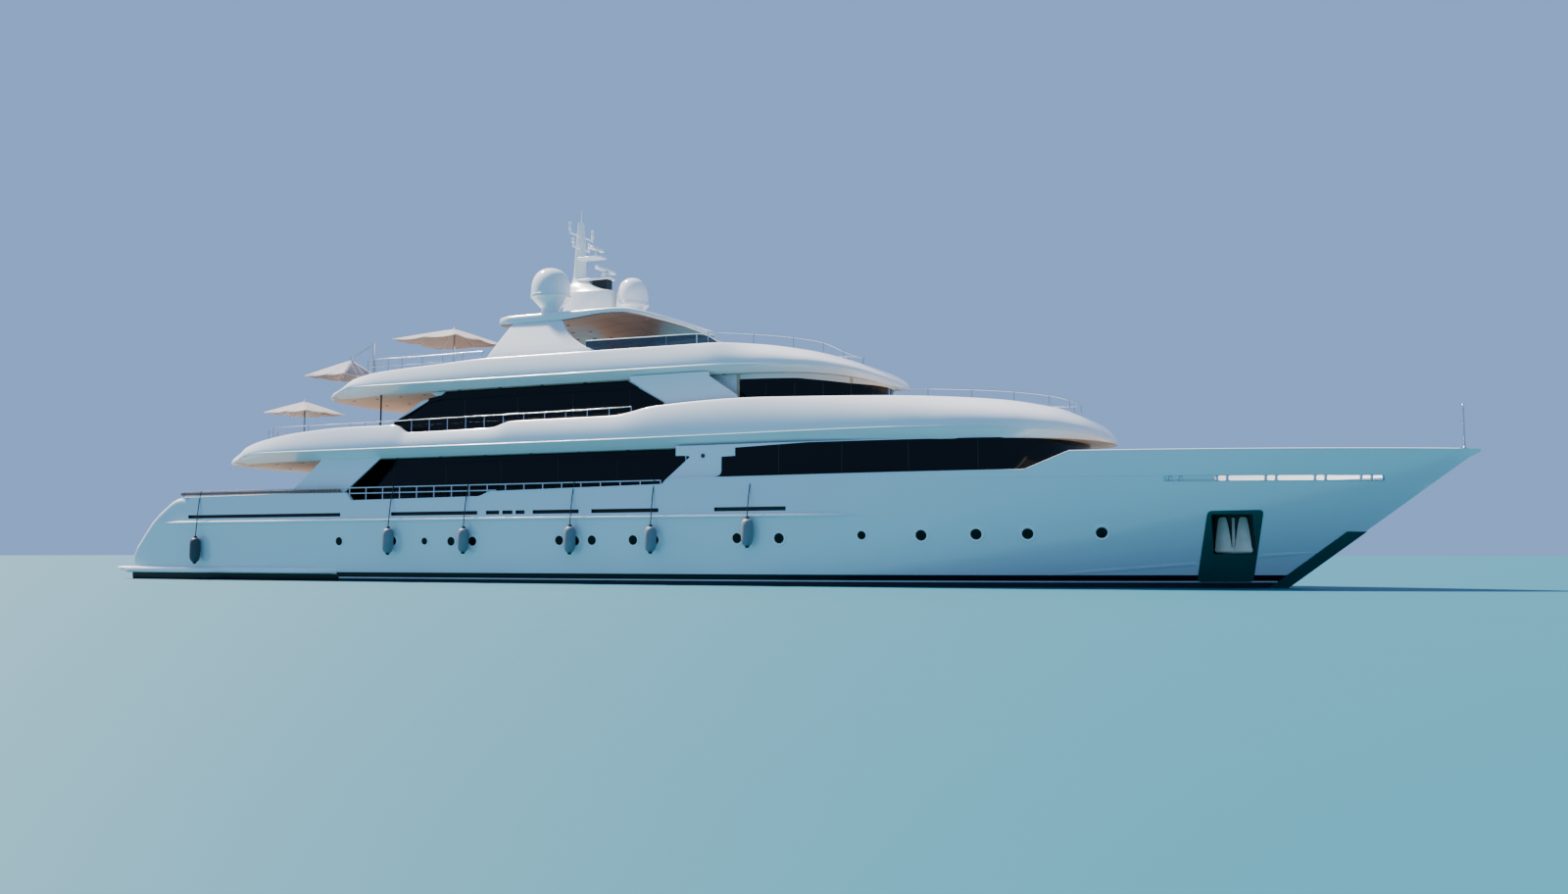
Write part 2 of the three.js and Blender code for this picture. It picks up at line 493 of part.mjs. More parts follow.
// Upper house with the wheelhouse at its front
const UPPER_AFT = -5150;
const UPPER_SIDE = 1700;
const UPPER_NOSE = { from: 1400, to: 3700 };
const upperOutline = mirrored([
  [UPPER_AFT, UPPER_SIDE], ...noseCurve(UPPER_NOSE.from, UPPER_NOSE.to, UPPER_SIDE),
]);
const UPPER_WINDOW = [
  [-6230, 2800], [-6230, 3130], [-5590, 3490], [-5100, 3590], [-600, 3590], [-80, 3300], [-80, 2800],
];
const WHEEL_WINDOW = { x: 1450, z0: 3150, z1: 3560 };
const upperWall = ringWall(upperOutline, 0, WALL, UPPER_DECK - 50, SUN_SOFFIT + 120);
function makeUpperHouse() {
  let body = upperWall.intersect(box(UPPER_AFT, UPPER_NOSE.from - GAP, -UPPER_SIDE, UPPER_SIDE, 0, 4000));
  const fin = [[-6330, 2500], [-6330, 3150], [-5620, 3570], [-5100, 3660], [-5100, 3780], [-5000, 3780], [-5000, 2500]];
  const wing = [[300, 2500], [300, 3160], [-620, 3700], [-620, 3780], [1000, 3780], [1000, 3700], [1560, 3330], [1560, 2500]];
  SIDES.forEach(([, side]) => {
    body = union(
      body, sidePlate(fin, ...across(side, UPPER_SIDE - WALL, UPPER_SIDE)),
      sidePlate(wing, ...across(side, 1950, 2005)), box(200, 900, ...across(side, 1660, 2000), 3600, 3760),
    );
    body = body.subtract(sidePlate(UPPER_WINDOW, ...across(side, 1630, 1750)));
  });
  return body.subtract(
    box(UPPER_AFT - 50, UPPER_AFT + 100, -DOORWAY.half, DOORWAY.half, 0, UPPER_DECK + DOORWAY.height),
  );
}
const wheelhouse = upperWall.intersect(box(UPPER_NOSE.from, 6000, -UPPER_SIDE, UPPER_SIDE, 0, 4000))
  .subtract(box(WHEEL_WINDOW.x, 6000, -UPPER_SIDE, UPPER_SIDE, WHEEL_WINDOW.z0, WHEEL_WINDOW.z1));
const betweenUpperDecks = (body) => hangUnder(standOn(body, upperDeck), sunDeck);
node('upper_house', betweenUpperDecks(makeUpperHouse()), WHITE);
node('wheelhouse', betweenUpperDecks(wheelhouse), WHITE);
const wheelGlass = ringWall(upperOutline, PANE.near, PANE.far, WHEEL_WINDOW.z0 + PANE.edge, WHEEL_WINDOW.z1 - PANE.edge)
  .intersect(box(WHEEL_WINDOW.x + PANE.edge, 6000, -1900, 1900, 0, 4000));
node('wheelhouse_window', hangUnder(wheelGlass, sunDeck), GLASS);
SIDES.forEach(([name, side]) => {
  const pane = inset(UPPER_WINDOW, PANE.edge);
  node(`upper_window_${name}`, sidePlate(pane, ...across(side, UPPER_SIDE - PANE.far, UPPER_SIDE - PANE.near)), GLASS);
});

// Sliding glass doors inside each aft doorway: name, x of the wall's inner face, deck
const SLIDING = { width: 712, thick: 30, clear: 6, top: 25 };
[['saloon', MAIN_AFT + WALL, MAIN_DECK], ['lounge', UPPER_AFT + WALL, UPPER_DECK]].forEach(([room, x, deck]) => {
  SIDES.forEach(([name, side]) => {
    const leaf = box(x + SLIDING.clear, x + SLIDING.clear + SLIDING.thick, ...across(side, 3, 3 + SLIDING.width),
      deck + 0.6, deck + DOORWAY.height + SLIDING.top);
    node(`${room}_door_${name}`, leaf, GLASS);
  });
});

// Raked legs that carry the hardtop. Rows: z, aft x, fore x, inner y, outer y
const LEG_ROWS = [
  [4200, -3960, -1250, 1940, 1995], [4330, -3850, -1500, 1920, 1978], [4450, -3790, -1850, 1890, 1945],
  [4700, -3680, -2250, 1790, 1845], [5050, -3520, -2560, 1640, 1700],
];
// Hardtop. Columns: x, half-breadth, z of soffit and top
const HARDTOP_STATIONS = [
  [-3980, 900, 5030, 5080], [-3880, 1450, 5010, 5120], [-3720, 1680, 4990, 5140], [-3500, 1750, 4960, 5150],
  [-2400, 1760, 4960, 5150], [-1300, 1750, 5040, 5150], [-1000, 1650, 5035, 5130], [-800, 1450, 5005, 5100],
  [-550, 1050, 4950, 5040], [-320, 600, 4890, 4980], [-180, 300, 4835, 4920], [-100, 80, 4790, 4870],
];
const hardtop = loft(HARDTOP_STATIONS.map(([x, half, z0, z1]) => (
  [[x, half - 60, z0], [x, half, z0 + (z1 - z0) * 0.6], [x, half - 60, z1],
    [x, 60 - half, z1], [x, -half, z0 + (z1 - z0) * 0.6], [x, 60 - half, z0]]
)));
node('hardtop', hardtop, WHITE);
const legs = {};
SIDES.forEach(([name, side]) => {
  legs[name] = loft(LEG_ROWS.map(([z, aft, fore, inner, outer]) => (
    [[aft, side * inner, z], [fore, side * inner, z], [fore, side * outer, z], [aft, side * outer, z]]
  )));
  node(`arch_leg_${name}`, hangUnder(standOn(legs[name], sunDeck), hardtop), WHITE);
});

// Low glass screen round the front of the sun deck
const screenOutline = mirrored([[-1650, 1965], [700, 1950], [1000, 1700], [1180, 1200], [1280, 600], [1310, 0]]);
const screenTop = [[-1700, 4498], [850, 4475], [1050, 4340], [1400, 4335], [1400, 5000], [-1700, 5000]];
const screen = ringWall(screenOutline, 0, 18, 4200, 4700)
  .subtract(box(-2000, -1600, -3000, 3000, 4000, 5000)).subtract(sidePlate(screenTop, -3000, 3000));
const besideLegs = SIDES.reduce((body, [name]) => body.subtract(legs[name].translate([GAP, 0, GAP])), screen);
node('windscreen', standOn(besideLegs, sunDeck), GLASS);

// Mast. Rows: z, aft x, fore x, half-breadth
const MAST_ROWS = [
  [5100, -3300, -2130, 310], [5460, -3230, -2140, 300], [5810, -3160, -2150, 270], [5860, -3150, -2350, 250],
  [5935, -3145, -2560, 215], [6090, -3130, -2800, 120], [6180, -3120, -2880, 100], [6900, -3080, -2905, 70],
  [7300, -3045, -2940, 45],
];
const RADARS = [
  { name: 'lower', x: -2400, z: 6110, length: 780, foot: 80 },
  { name: 'upper', x: -2610, z: 6560, length: 460, foot: 60 },
];
function makeMast() {
  const trunk = loft(MAST_ROWS.map(([z, aft, fore, half]) => (
    [[aft, -half, z], [fore, -half * 0.7, z], [fore, half * 0.7, z], [aft, half, z]]
  )));
  const pieces = [
    trunk, rod([-2990, 0, 7250], [-2990, 0, 7560], 14),
    rod([-2990, -420, 7010], [-2990, 420, 7010], 22), rod([-2990, -300, 6760], [-2990, 300, 6760], 22),
  ];
  [[-420, 7010, 230], [420, 7010, 230], [-300, 6760, 180], [300, 6760, 180]].forEach(([y, z, tall]) => {
    pieces.push(rod([-2990, y, z - 30], [-2990, y, z + tall], 18));
  });
  RADARS.forEach(({ x, z, foot }) => {
    pieces.push(box(-3000, x + 150, -130, 130, z - 50, z), rod([x, 0, z - 20], [x, 0, z + 120], foot, 12));
  });
  return standOn(union(...pieces), hardtop);
}
node('mast', makeMast(), WHITE);
RADARS.forEach(({ name, x, z, length }) => {
  const bar = solid(new THREE.BoxGeometry(90, length, 70).translate(0, 0, 35));
  node(`radar_scanner_${name}`, bar, WHITE, [x, 0, z + 120.6]);
});

// Radomes on pedestals that flare to a flange: name, x, y, radius, top
const DOME_FLANGE = 5485;
const DOMES = [
  ['dome_starboard', -2750, -1430, 390, 6060], ['dome_port', -2750, 1430, 390, 6060],
  ['dome_fore', -1770, 0, 327, 6050],
];
DOMES.forEach(([name, x, y, radius, top]) => {
  const spring = top - radius;
  const crown = Array.from({ length: 5 }, (_, i) => {
    const angle = Math.PI / 2 * i / 4;
    return [i === 4 ? 0 : radius * 0.97 * Math.cos(angle), spring + radius * Math.sin(angle)];
  });
  const foot = radius * 0.45;
  const rows = [[0, HARDTOP_TOP - 100], [foot, HARDTOP_TOP - 100], [foot, HARDTOP_TOP + 60],
    [radius, DOME_FLANGE - 30], [radius, DOME_FLANGE], ...crown];
  node(name, standOn(turned(rows, x, y), hardtop), WHITE);
});

// Bar along a path of points, mitred at its bends
function bar(path, radius, sides = 4) {
  const points = path.map((p) => new THREE.Vector3(...p));
  return loft(points.map((point, i) => {
    const along = points[Math.min(i + 1, points.length - 1)].clone().sub(points[Math.max(i - 1, 0)]).normalize();
    const out = new THREE.Vector3().crossVectors(along, new THREE.Vector3(0, 0, 1)).normalize();
    const up = new THREE.Vector3().crossVectors(out, along);
    return Array.from({ length: sides }, (_, k) => {
      const angle = 2 * Math.PI * k / sides;
      return point.clone().addScaledVector(out, radius * Math.cos(angle)).addScaledVector(up, radius * Math.sin(angle)).toArray();
    });
  }));
}

// Tube rails: bars at drops below the path, and posts whose feet are sunk into what carries them
function railing({ path, bars, posts, foot, radius = 14 }) {
  const pieces = bars.map((drop) => bar(path.map(([x, y, z]) => [x, y, z - drop]), radius));
  posts.forEach((index) => {
    const [x, y, z] = path[index];
    pieces.push(rod([x, y, foot], [x, y, z], radius * 0.9, 4));
  });
  return union(...pieces);
}
const every = (count, step = 1) => Array.from({ length: Math.ceil(count / step) }, (_, i) => i * step);

const MAIN_RAIL = { from: -11450, to: 180, z: 1845, radius: 14, posts: 15 };
const mainRailLine = every(MAIN_RAIL.posts).map((i) => {
  const x = MAIN_RAIL.from + (MAIN_RAIL.to - MAIN_RAIL.from) * i / (MAIN_RAIL.posts - 1);
  return [x, hullHalf(x, 1700) - 40];
});
const mainRails = {};
SIDES.forEach(([name, side]) => {
  const path = mainRailLine.map(([x, y]) => [x, side * y, MAIN_RAIL.z]);
  const rail = railing({ path, bars: [0], posts: every(MAIN_RAIL.posts), foot: 1550 });
  const dip = path.filter(([x]) => x > -7000 && x < -3200);
  const second = railing({ path: dip, bars: [110], posts: [], foot: 0 });
  mainRails[name] = standOn(union(rail, second), hull);
  node(`main_rail_${name}`, mainRails[name], STEEL);
});

const aroundStern = (half) => [...half, ...half.map(([x, y, z]) => [x, -y, z]).reverse()];
const upperRailPath = aroundStern([
  [-500, 2150, 3200], [-1900, 2150, 3180], [-3300, 2150, 3170], [-4600, 2155, 3160], [-5900, 2150, 3150],
  [-7000, 2150, 3145], [-8100, 2145, 3140], [-9050, 2138, 3130], [-9350, 1950, 3125], [-9650, 1400, 3120],
  [-9850, 700, 3120],
]);
const upperRail = union(
  railing({ path: upperRailPath, bars: [0], posts: every(22), foot: 2500 }),
  railing({ path: upperRailPath.slice(7, 15), bars: [140, 280, 420], posts: [], foot: 0, radius: 10 }),
);
node('upper_rail', standOn(upperRail, upperDeck), STEEL);

const sunRailPath = aroundStern([
  [-3950, 1950, 4450], [-4900, 1955, 4440], [-5900, 1955, 4435], [-6600, 1940, 4440], [-6880, 1820, 4440],
  [-7100, 1350, 4440], [-7200, 600, 4440],
]);
const sunRail = union(
  railing({ path: sunRailPath, bars: [0], posts: every(14), foot: 3750 }),
  railing({ path: sunRailPath.slice(1, 13), bars: [150], posts: [], foot: 0, radius: 10 }),
  railing({ path: sunRailPath.slice(3, 11), bars: [300], posts: [], foot: 0, radius: 10 }),
);
node('sun_rail', standOn(sunRail, sunDeck), STEEL);

const upperForePath = aroundStern([
  [4350, 1880, 3330], [5000, 1760, 3300], [5700, 1580, 3270], [6350, 1330, 3230], [6850, 950, 3180], [7080, 450, 3140],
]);
node('upper_fore_rail', standOn(railing({ path: upperForePath, bars: [0], posts: every(12), foot: 2800 }), upperDeck), STEEL);
const sunForePath = aroundStern([
  [900, 1850, 4515], [1700, 1620, 4460], [2350, 1330, 4398], [2780, 980, 4325], [2980, 500, 4215],
]);
node('sun_fore_rail', standOn(railing({ path: sunForePath, bars: [0], posts: every(10), foot: 3900 }), sunDeck), STEEL);

// Fenders hung on the starboard side: x, z of the bottom, z of the top
const FENDERS = [
  [-10920, 330, 910], [-5780, 520, 1070], [-3990, 540, 1060], [-1620, 530, 1075], [60, 545, 1060], [1957, 645, 1180],
];
FENDERS.forEach(([x, low, high], i) => {
  const radius = 108;
  const line = 8;
  const y = -(hullHalf(x, high) + radius + 2);
  const rows = [[0, low], [40, low], [45, low + 50], [radius, low + 110], [radius, high - 110], [45, high - 50],
    [40, high], [0, high]];
  const knot = [x, -(stationAt(mainRailLine, x)[1] + MAIN_RAIL.radius + line / 2), MAIN_RAIL.z];
  const bend = [x, y + 60, 1555];
  const lines = union(rod([x, y, high - 20], bend, line, 4), rod(bend, knot, line, 4));
  const body = union(turned(rows, x, y, 12), lines);
  const seated = body.subtract(hull).subtract(mainRails.starboard.translate([0, -GAP, 0]));
  node(`fender_${i + 1}`, seated, RUBBER);
});

// Square parasols: name, peak x and y, deck, rim z, peak z, width, lean of the rim, x and y of a mast beside it
const PARASOLS = [
  ['upper', -9400, -900, UPPER_DECK, 3560, 3830, 1170, 0], ['sun_fore', -6150, 0, SUN_DECK, 5050, 5330, 1640, -150],
  ['sun_aft', -7830, -1240, SUN_DECK, 4240, 4596, 1060, -240, -6960, -1560],
];
const CANOPY = { hub: 60, thick: 25, edge: 40 };
PARASOLS.forEach(([name, x, y, deck, rim, peak, width, lean, mastX = x, mastY = y]) => {
  const square = (half, z, shift) => [[-1, -1], [1, -1], [1, 1], [-1, 1]]
    .map(([i, j]) => [x + shift + i * half, y + shift + j * half, z]);
  const outer = loft([square(width / 2, rim, lean), square(CANOPY.hub, peak, 0)]);
  const inner = loft([square(width / 2 - CANOPY.edge, rim - 5, lean), square(CANOPY.hub - 25, peak - CANOPY.thick, 0)]);
  node(`parasol_canopy_${name}`, outer.subtract(inner), CLOTH);
  const beside = mastX !== x;
  const base = rod([mastX, mastY, deck + GAP], [mastX, mastY, deck + 60], 170, 12);
  const pole = rod([mastX, mastY, deck + 30], [mastX, mastY, beside ? peak + 260 : peak - CANOPY.thick - GAP], 22, 8);
  const arm = rod([mastX, mastY, peak + 240], [x, y, peak + 40], 18, 8);
  const hanger = rod([x, y, peak + GAP], [x, y, peak + 60], 25, 8);
  node(`parasol_pole_${name}`, beside ? union(base, pole, arm, hanger) : union(base, pole), STEEL);
});

// Propellers on their shafts, turning about X
function makePropeller(side) {
  const blades = every(5).map((i) => {
    const geometry = new THREE.BoxGeometry(60, 24, 360, 1, 1, 3);
    const place = geometry.getAttribute('position');
    for (let k = 0; k < place.count; k++) {
      const t = (place.getZ(k) + 180) / 360;
      const wide = 1 + 3.2 * Math.sin(Math.PI * clamp(0.15 + t * 0.8, 0, 1));
      const pitch = side * (1.05 - 0.5 * t);
      const [u, v] = [place.getX(k) * wide, place.getY(k) * (1 - 0.6 * t)];
      place.setXYZ(k, u * Math.cos(pitch) - v * Math.sin(pitch), u * Math.sin(pitch) + v * Math.cos(pitch), place.getZ(k));
    }
    return solid(geometry.translate(0, 0, 218).rotateX(2 * Math.PI * i / 5));
  });
  const hub = union(rod([-110, 0, 0], [90, 0, 0], 80, 12), rod([-190, 0, 0], [-100, 0, 0], 45, 12));
  return union(hub, ...blades, rod([0, 0, 0], [SHAFT.to - SHAFT.from, 0, 0], SHAFT.radius, ROUND));
}
// Rudders, turning about their stocks
const rudderOutline = [[190, 0], [150, 32], [20, 46], [-200, 30], [-400, 4]];
const rudderFoil = [...rudderOutline, ...rudderOutline.slice(1).map(([x, y]) => [x, -y]).reverse()];
SIDES.forEach(([name, side]) => {
  node(`propeller_${name}`, makePropeller(side), BRONZE, [SHAFT.from, side * SHAFT.y, SHAFT.z]);
  const rudder = union(column(rudderFoil, -1420, -620), rod([0, 0, -1000], [0, 0, RUDDER.top], RUDDER.stock, ROUND));
  node(`rudder_${name}`, rudder, WHITE, [RUDDER.x, side * RUDDER.y, 0]);
});

// Stabiliser fins on their raked stocks: distance out along the stock, fore x, aft x, half-thickness
const FIN_ROWS = [[45, 330, -480, 42], [680, 200, -370, 24]];
SIDES.forEach(([name, side]) => {
  const [, ay, az] = finAxis(side);
  const blade = loft(FIN_ROWS.map(([out, fore, aft, thick]) => (
    [[fore, 0], [fore - 120, thick], [aft, 3], [aft, -3], [fore - 120, -thick]]
      .map(([x, off]) => [x, ay * out - az * off, az * out + ay * off])
  )));
  const stock = rod([0, -ay * 200, -az * 200], [0, ay * 120, az * 120], FIN.stock, ROUND);
  node(`stabilizer_${name}`, union(blade, stock), WHITE, [FIN.x, side * FIN.y, FIN.z]);
});

// Anchors stowed in their pockets
SIDES.forEach(([name, side]) => {
  const middle = (POCKET.from + POCKET.to) / 2;
  const y = side * (POCKET.back + GAP);
  const shank = box(middle - 30, middle + 30, ...across(side, POCKET.back + GAP, POCKET.back + 80), 640, 1110);
  const crown = box(middle - 210, middle + 210, ...across(side, POCKET.back + GAP, POCKET.back + 110), 560, 660);
  const flukes = [middle - 205, middle + 45].map((x) => loft([[x, x + 160, 640], [x + 50, x + 110, 1080]]
    .map(([x0, x1, z]) => [[x0, y, z], [x1, y, z], [x1, y + side * 45, z], [x0, y + side * 45, z]])));
  node(`anchor_${name}`, union(shank, crown, ...flukes), STEEL);
});

export default yacht;
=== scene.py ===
import json
import math

import bmesh
import bpy
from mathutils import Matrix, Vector

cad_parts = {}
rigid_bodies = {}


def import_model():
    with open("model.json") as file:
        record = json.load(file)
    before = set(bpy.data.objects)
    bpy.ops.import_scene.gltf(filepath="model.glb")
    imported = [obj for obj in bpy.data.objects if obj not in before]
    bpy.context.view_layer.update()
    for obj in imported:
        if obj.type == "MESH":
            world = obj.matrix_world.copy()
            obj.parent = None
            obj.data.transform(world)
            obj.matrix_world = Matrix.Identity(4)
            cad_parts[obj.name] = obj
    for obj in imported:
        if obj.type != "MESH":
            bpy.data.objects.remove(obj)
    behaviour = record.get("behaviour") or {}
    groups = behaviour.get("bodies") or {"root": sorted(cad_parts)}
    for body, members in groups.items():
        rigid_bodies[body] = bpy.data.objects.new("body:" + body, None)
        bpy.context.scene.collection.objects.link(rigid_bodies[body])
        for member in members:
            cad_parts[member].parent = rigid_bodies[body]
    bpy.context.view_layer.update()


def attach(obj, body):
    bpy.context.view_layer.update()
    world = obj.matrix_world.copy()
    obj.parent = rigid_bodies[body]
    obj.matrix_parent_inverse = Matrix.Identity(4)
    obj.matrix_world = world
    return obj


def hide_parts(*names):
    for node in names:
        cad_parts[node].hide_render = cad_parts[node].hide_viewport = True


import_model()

# The picture is taken from 0.6 m over the floor, 24 degrees forward of the starboard beam, with a
# 31.5 mm lens that is tipped up by 4.4 degrees.
camera_data = bpy.data.cameras.new("photo_camera")
camera_data.lens = 31.5
camera_data.sensor_width = 36.0
camera = bpy.data.objects.new("photo_camera", camera_data)
camera.location = (12.1874, -23.5292, 0.5789)
camera.rotation_euler = (math.radians(94.3705), 0.0, math.radians(24.3045))
bpy.context.scene.collection.objects.link(camera)
bpy.context.scene.camera = camera


# Studio floor at the waterline: a board in matt aqua paint, which the strong key light bleaches to
# a pale tone and throws up on the flare of the bow.
def linear(code):
    """sRGB hex colour as linear red, green, blue and alpha"""
    parts = [int(code[i:i + 2], 16) / 255 for i in (0, 2, 4)]
    return tuple(c / 12.92 if c <= 0.04045 else ((c + 0.055) / 1.055) ** 2.4 for c in parts) + (1.0,)


def add(tree, kind, inputs=(), **settings):
    """Adds a node with its settings, and its inputs as plain values, sockets or whole nodes"""
    node = tree.nodes.new(kind)
    for key, value in settings.items():
        setattr(node, key, value)
    for key, value in dict(inputs).items():
        if isinstance(value, bpy.types.Node):
            value = value.outputs[0]
        if isinstance(value, bpy.types.NodeSocket):
            tree.links.new(value, node.inputs[key])
        else:
            node.inputs[key].default_value = value
    return node


def new_material(name):
    """Empty material, its tree and its Object coordinates"""
    material = bpy.data.materials.new(name)
    material.use_nodes = True
    material.node_tree.nodes.clear()
    return material, material.node_tree, add(material.node_tree, "ShaderNodeTexCoord").outputs["Object"]


def finish(name, pale, deep, mottle, rough, ripple, **shader):
    """Two shades that change over mottle metres, roughness from and to, ripples of a length and height"""
    material, tree, place = new_material(name)
    cloud = add(tree, "ShaderNodeTexNoise", {"Vector": place, "Scale": 1 / mottle, "Detail": 5.0})
    shade = add(tree, "ShaderNodeMix", {0: cloud, 6: linear(pale), 7: linear(deep)}, data_type="RGBA")
    gloss = add(tree, "ShaderNodeMapRange", {"Value": cloud, "To Min": rough[0], "To Max": rough[1]})
    wave = add(tree, "ShaderNodeTexNoise", {"Vector": place, "Scale": 1 / ripple[0], "Detail": 2.0})
    bump = add(tree, "ShaderNodeBump", {"Height": wave, "Distance": ripple[1], "Strength": 1.0})
    surface = add(tree, "ShaderNodeBsdfPrincipled", {
        "Base Color": shade.outputs[2], "Roughness": gloss, "Normal": bump, **shader,
    })
    add(tree, "ShaderNodeOutputMaterial", {"Surface": surface})
    return material


floor_paint = finish("floor_paint_matt", "1f6c7e", "1d687a", 3.0, (0.55, 0.65), (0.4, 0.001))
bpy.ops.mesh.primitive_plane_add(size=400)
floor = bpy.context.object
floor.name = "studio_floor"
floor.data.materials.append(floor_paint)

# Daylight: a broad soft key high over the stern, which grazes the sides, and an even blue sky that
# fills the shade under the decks.
world = bpy.data.worlds.new("even_blue_sky")
world.use_nodes = True
world.node_tree.nodes["Background"].inputs[0].default_value = linear("8fb4ee")
world.node_tree.nodes["Background"].inputs[1].default_value = 0.95
bpy.context.scene.world = world
key_data = bpy.data.lights.new("key_light", "SUN")
key_data.energy = 13.8
key_data.angle = math.radians(6)
key_data.color = linear("fff0e2")[:3]
key = bpy.data.objects.new("key_light", key_data)
key.rotation_euler = (math.radians(-3), math.radians(-35), 0)
bpy.context.scene.collection.objects.link(key)


# Hull: welded steel plating, faired and sprayed, round at the bilge and flared at the bow, with
# solid bulwarks 90 mm thick. Slots, anchor pockets, stairs and the stern recess are cut in it.
BOW_X, BOW_Z, STEM_FOOT_X, STERN_X = 13.29, 2.153, 10.44, -13.03
HALF_BEAM, DRAUGHT = 2.3, 1.45
BULWARK, CURB_DECK, FORE_DECK, DECK_STEP_X = 0.09, 1.25, 1.62, 5.6
SIDES = (("starboard", -1), ("port", 1))
SHEER = [
    (-13.03, 0.29), (-12.995, 0.505), (-12.89, 0.69), (-12.74, 0.85), (-12.58, 1.022), (-12.39, 1.214),
    (-12.175, 1.389), (-11.96, 1.531), (-11.79, 1.64), (-11.64, 1.7), (-11.48, 1.722), (-11.33, 1.725),
    (-8.44, 1.75), (-6.94, 1.74), (-6.81, 1.59), (-3.73, 1.62),
    (-3.47, 1.71), (0.22, 1.77), (0.36, 1.87), (1.37, 1.87), (6.69, 1.89), (7.39, 2.17), (13.29, 2.153),
]


def clamp(value, low, high):
    return min(high, max(low, value))


def row_at(table, x):
    """Row of a station table at x, each column by straight lines between stations"""
    k = next((i for i, row in enumerate(table) if row[0] >= x), len(table) - 1)
    a, b = table[max(k, 1) - 1], table[max(k, 1)]
    t = clamp((x - a[0]) / (b[0] - a[0]), 0, 1)
    return [p + (q - p) * t for p, q in zip(a, b)]


def keel_z(x):
    if x < -3:
        return -DRAUGHT + (DRAUGHT - 0.42) * ((-3 - x) / (-3 - STERN_X)) ** 1.7
    if x <= 6:
        return -DRAUGHT
    if x < STEM_FOOT_X:
        return -DRAUGHT * (1 - ((x - 6) / (STEM_FOOT_X - 6)) ** 2)
    return (x - STEM_FOOT_X) * BOW_Z / (BOW_X - STEM_FOOT_X)


def hull_half(x, z):
    """Half-breadth of the hull: fine at the waterline forward, full and flared at the deck"""
    above = max(0, z)
    level = clamp(above / BOW_Z, 0, 1)
    shoulder = 1 + 2 * level
    stem_x = STEM_FOOT_X + min(above, BOW_Z) * (BOW_X - STEM_FOOT_X) / BOW_Z
    half = HALF_BEAM - 0.1 * (1 - min(1, above / 1.2) ** 0.8)
    if x > shoulder:
        t = min(1, (x - shoulder) / (stem_x - shoulder))
        half *= (1 - t ** (2 + 0.2 * level)) ** (1 - 0.13 * level)
    if x < -8:
        half *= 1 - 0.06 * ((-8 - x) / 5) ** 2
    if z < 0:
        half *= math.sqrt(max(0, 1 - (z / min(keel_z(x), z)) ** 2.4)) if keel_z(x) < z else 0
    return max(0.018, half)


def hull_side(x, z, side, out=0.0):
    """Point on the plating, moved outward along its normal, and that normal"""
    step = 0.02
    slope_x = (hull_half(x + step, z) - hull_half(x - step, z)) / (2 * step)
    slope_z = (hull_half(x, z + step) - hull_half(x, z - step)) / (2 * step)
    normal = Vector((-slope_x, 1, -slope_z)).normalized()
    place = Vector((x, hull_half(x, z), z)) + normal * out
    flip = Vector((1, side, 1))
    return place * flip, normal * flip


def lerp(a, b, t):
    return tuple(p + (q - p) * t for p, q in zip(a, b))


def parted(start, end, count):
    return [start + (end - start) * i / count for i in range(count + 1)]


def mirrored(half):
    """Points of the port side, then their mirror images in reverse"""
    return half + [(x, -y, z) for x, y, z in reversed(half)]


def loft(rings):
    """Closed body through rings of equal length, with its two ends capped"""
    n = len(rings[0])
    last = (len(rings) - 1) * n
    faces = [(k + i, k + (i + 1) % n, k + n + (i + 1) % n, k + n + i) for k in range(0, last, n)
             for i in range(n)]
    faces += [tuple(range(n)), tuple(range(last, last + n))]
    return [p for ring in rings for p in ring], faces


def join(*bodies):
    """One list of points and faces from several"""
    points, faces = [], []
    for body_points, body_faces in bodies:
        start = len(points)
        points += list(body_points)
        faces += [tuple(i + start for i in face) for face in body_faces]
    return points, faces


def slab(profile, y0, y1):
    """Body of one profile of x and z all the way across"""
    return loft([[(x, y, z) for x, z in profile] for y in (y0, y1)])


def block(x0, x1, y0, y1, z0, z1):
    return loft([[(x, y0, z0), (x, y1, z0), (x, y1, z1), (x, y0, z1)] for x in (x0, x1)])


def across(side, near, far):
    return (near, far) if side > 0 else (-far, -near)


def linked(name, mesh):
    piece = bpy.data.objects.new(name, mesh)
    bpy.context.scene.collection.objects.link(piece)
    return piece


def cleaned(mesh, gap=1e-5):
    """The mesh with its doubles merged and its faces turned outward"""
    shape = bmesh.new()
    shape.from_mesh(mesh)
    bmesh.ops.remove_doubles(shape, verts=shape.verts, dist=gap)
    bmesh.ops.dissolve_degenerate(shape, edges=shape.edges, dist=gap)
    bmesh.ops.recalc_face_normals(shape, faces=shape.faces)
    shape.to_mesh(mesh)
    shape.free()
    return mesh


def solid(name, body):
    mesh = bpy.data.meshes.new(name)
    mesh.from_pydata([tuple(p) for p in body[0]], [], body[1])
    return linked(name, cleaned(mesh))


def settle(piece):
    """The evaluated shape as the piece's own plain mesh, with its modifiers removed"""
    graph = bpy.context.evaluated_depsgraph_get()
    graph.update()
    made = bpy.data.meshes.new_from_object(piece.evaluated_get(graph), depsgraph=graph)
    piece.modifiers.clear()
    piece.data = made
    return piece


def carve(piece, cutters):
    """The piece less its cutters, with exact booleans"""
    tools = bpy.data.collections.new("cutters")
    for number, cutter in enumerate(cutters):
        tool = solid(f"cutter_{number}", cutter)
        tools.objects.link(tool)
        bpy.context.scene.collection.objects.unlink(tool)
    bpy.context.scene.collection.children.link(tools)
    cut = piece.modifiers.new("carve", "BOOLEAN")
    cut.operation = "DIFFERENCE"
    cut.solver = "EXACT"
    cut.operand_type = "COLLECTION"
    cut.collection = tools
    settle(piece)
    for tool in list(tools.objects):
        bpy.data.objects.remove(tool)
    bpy.data.collections.remove(tools)


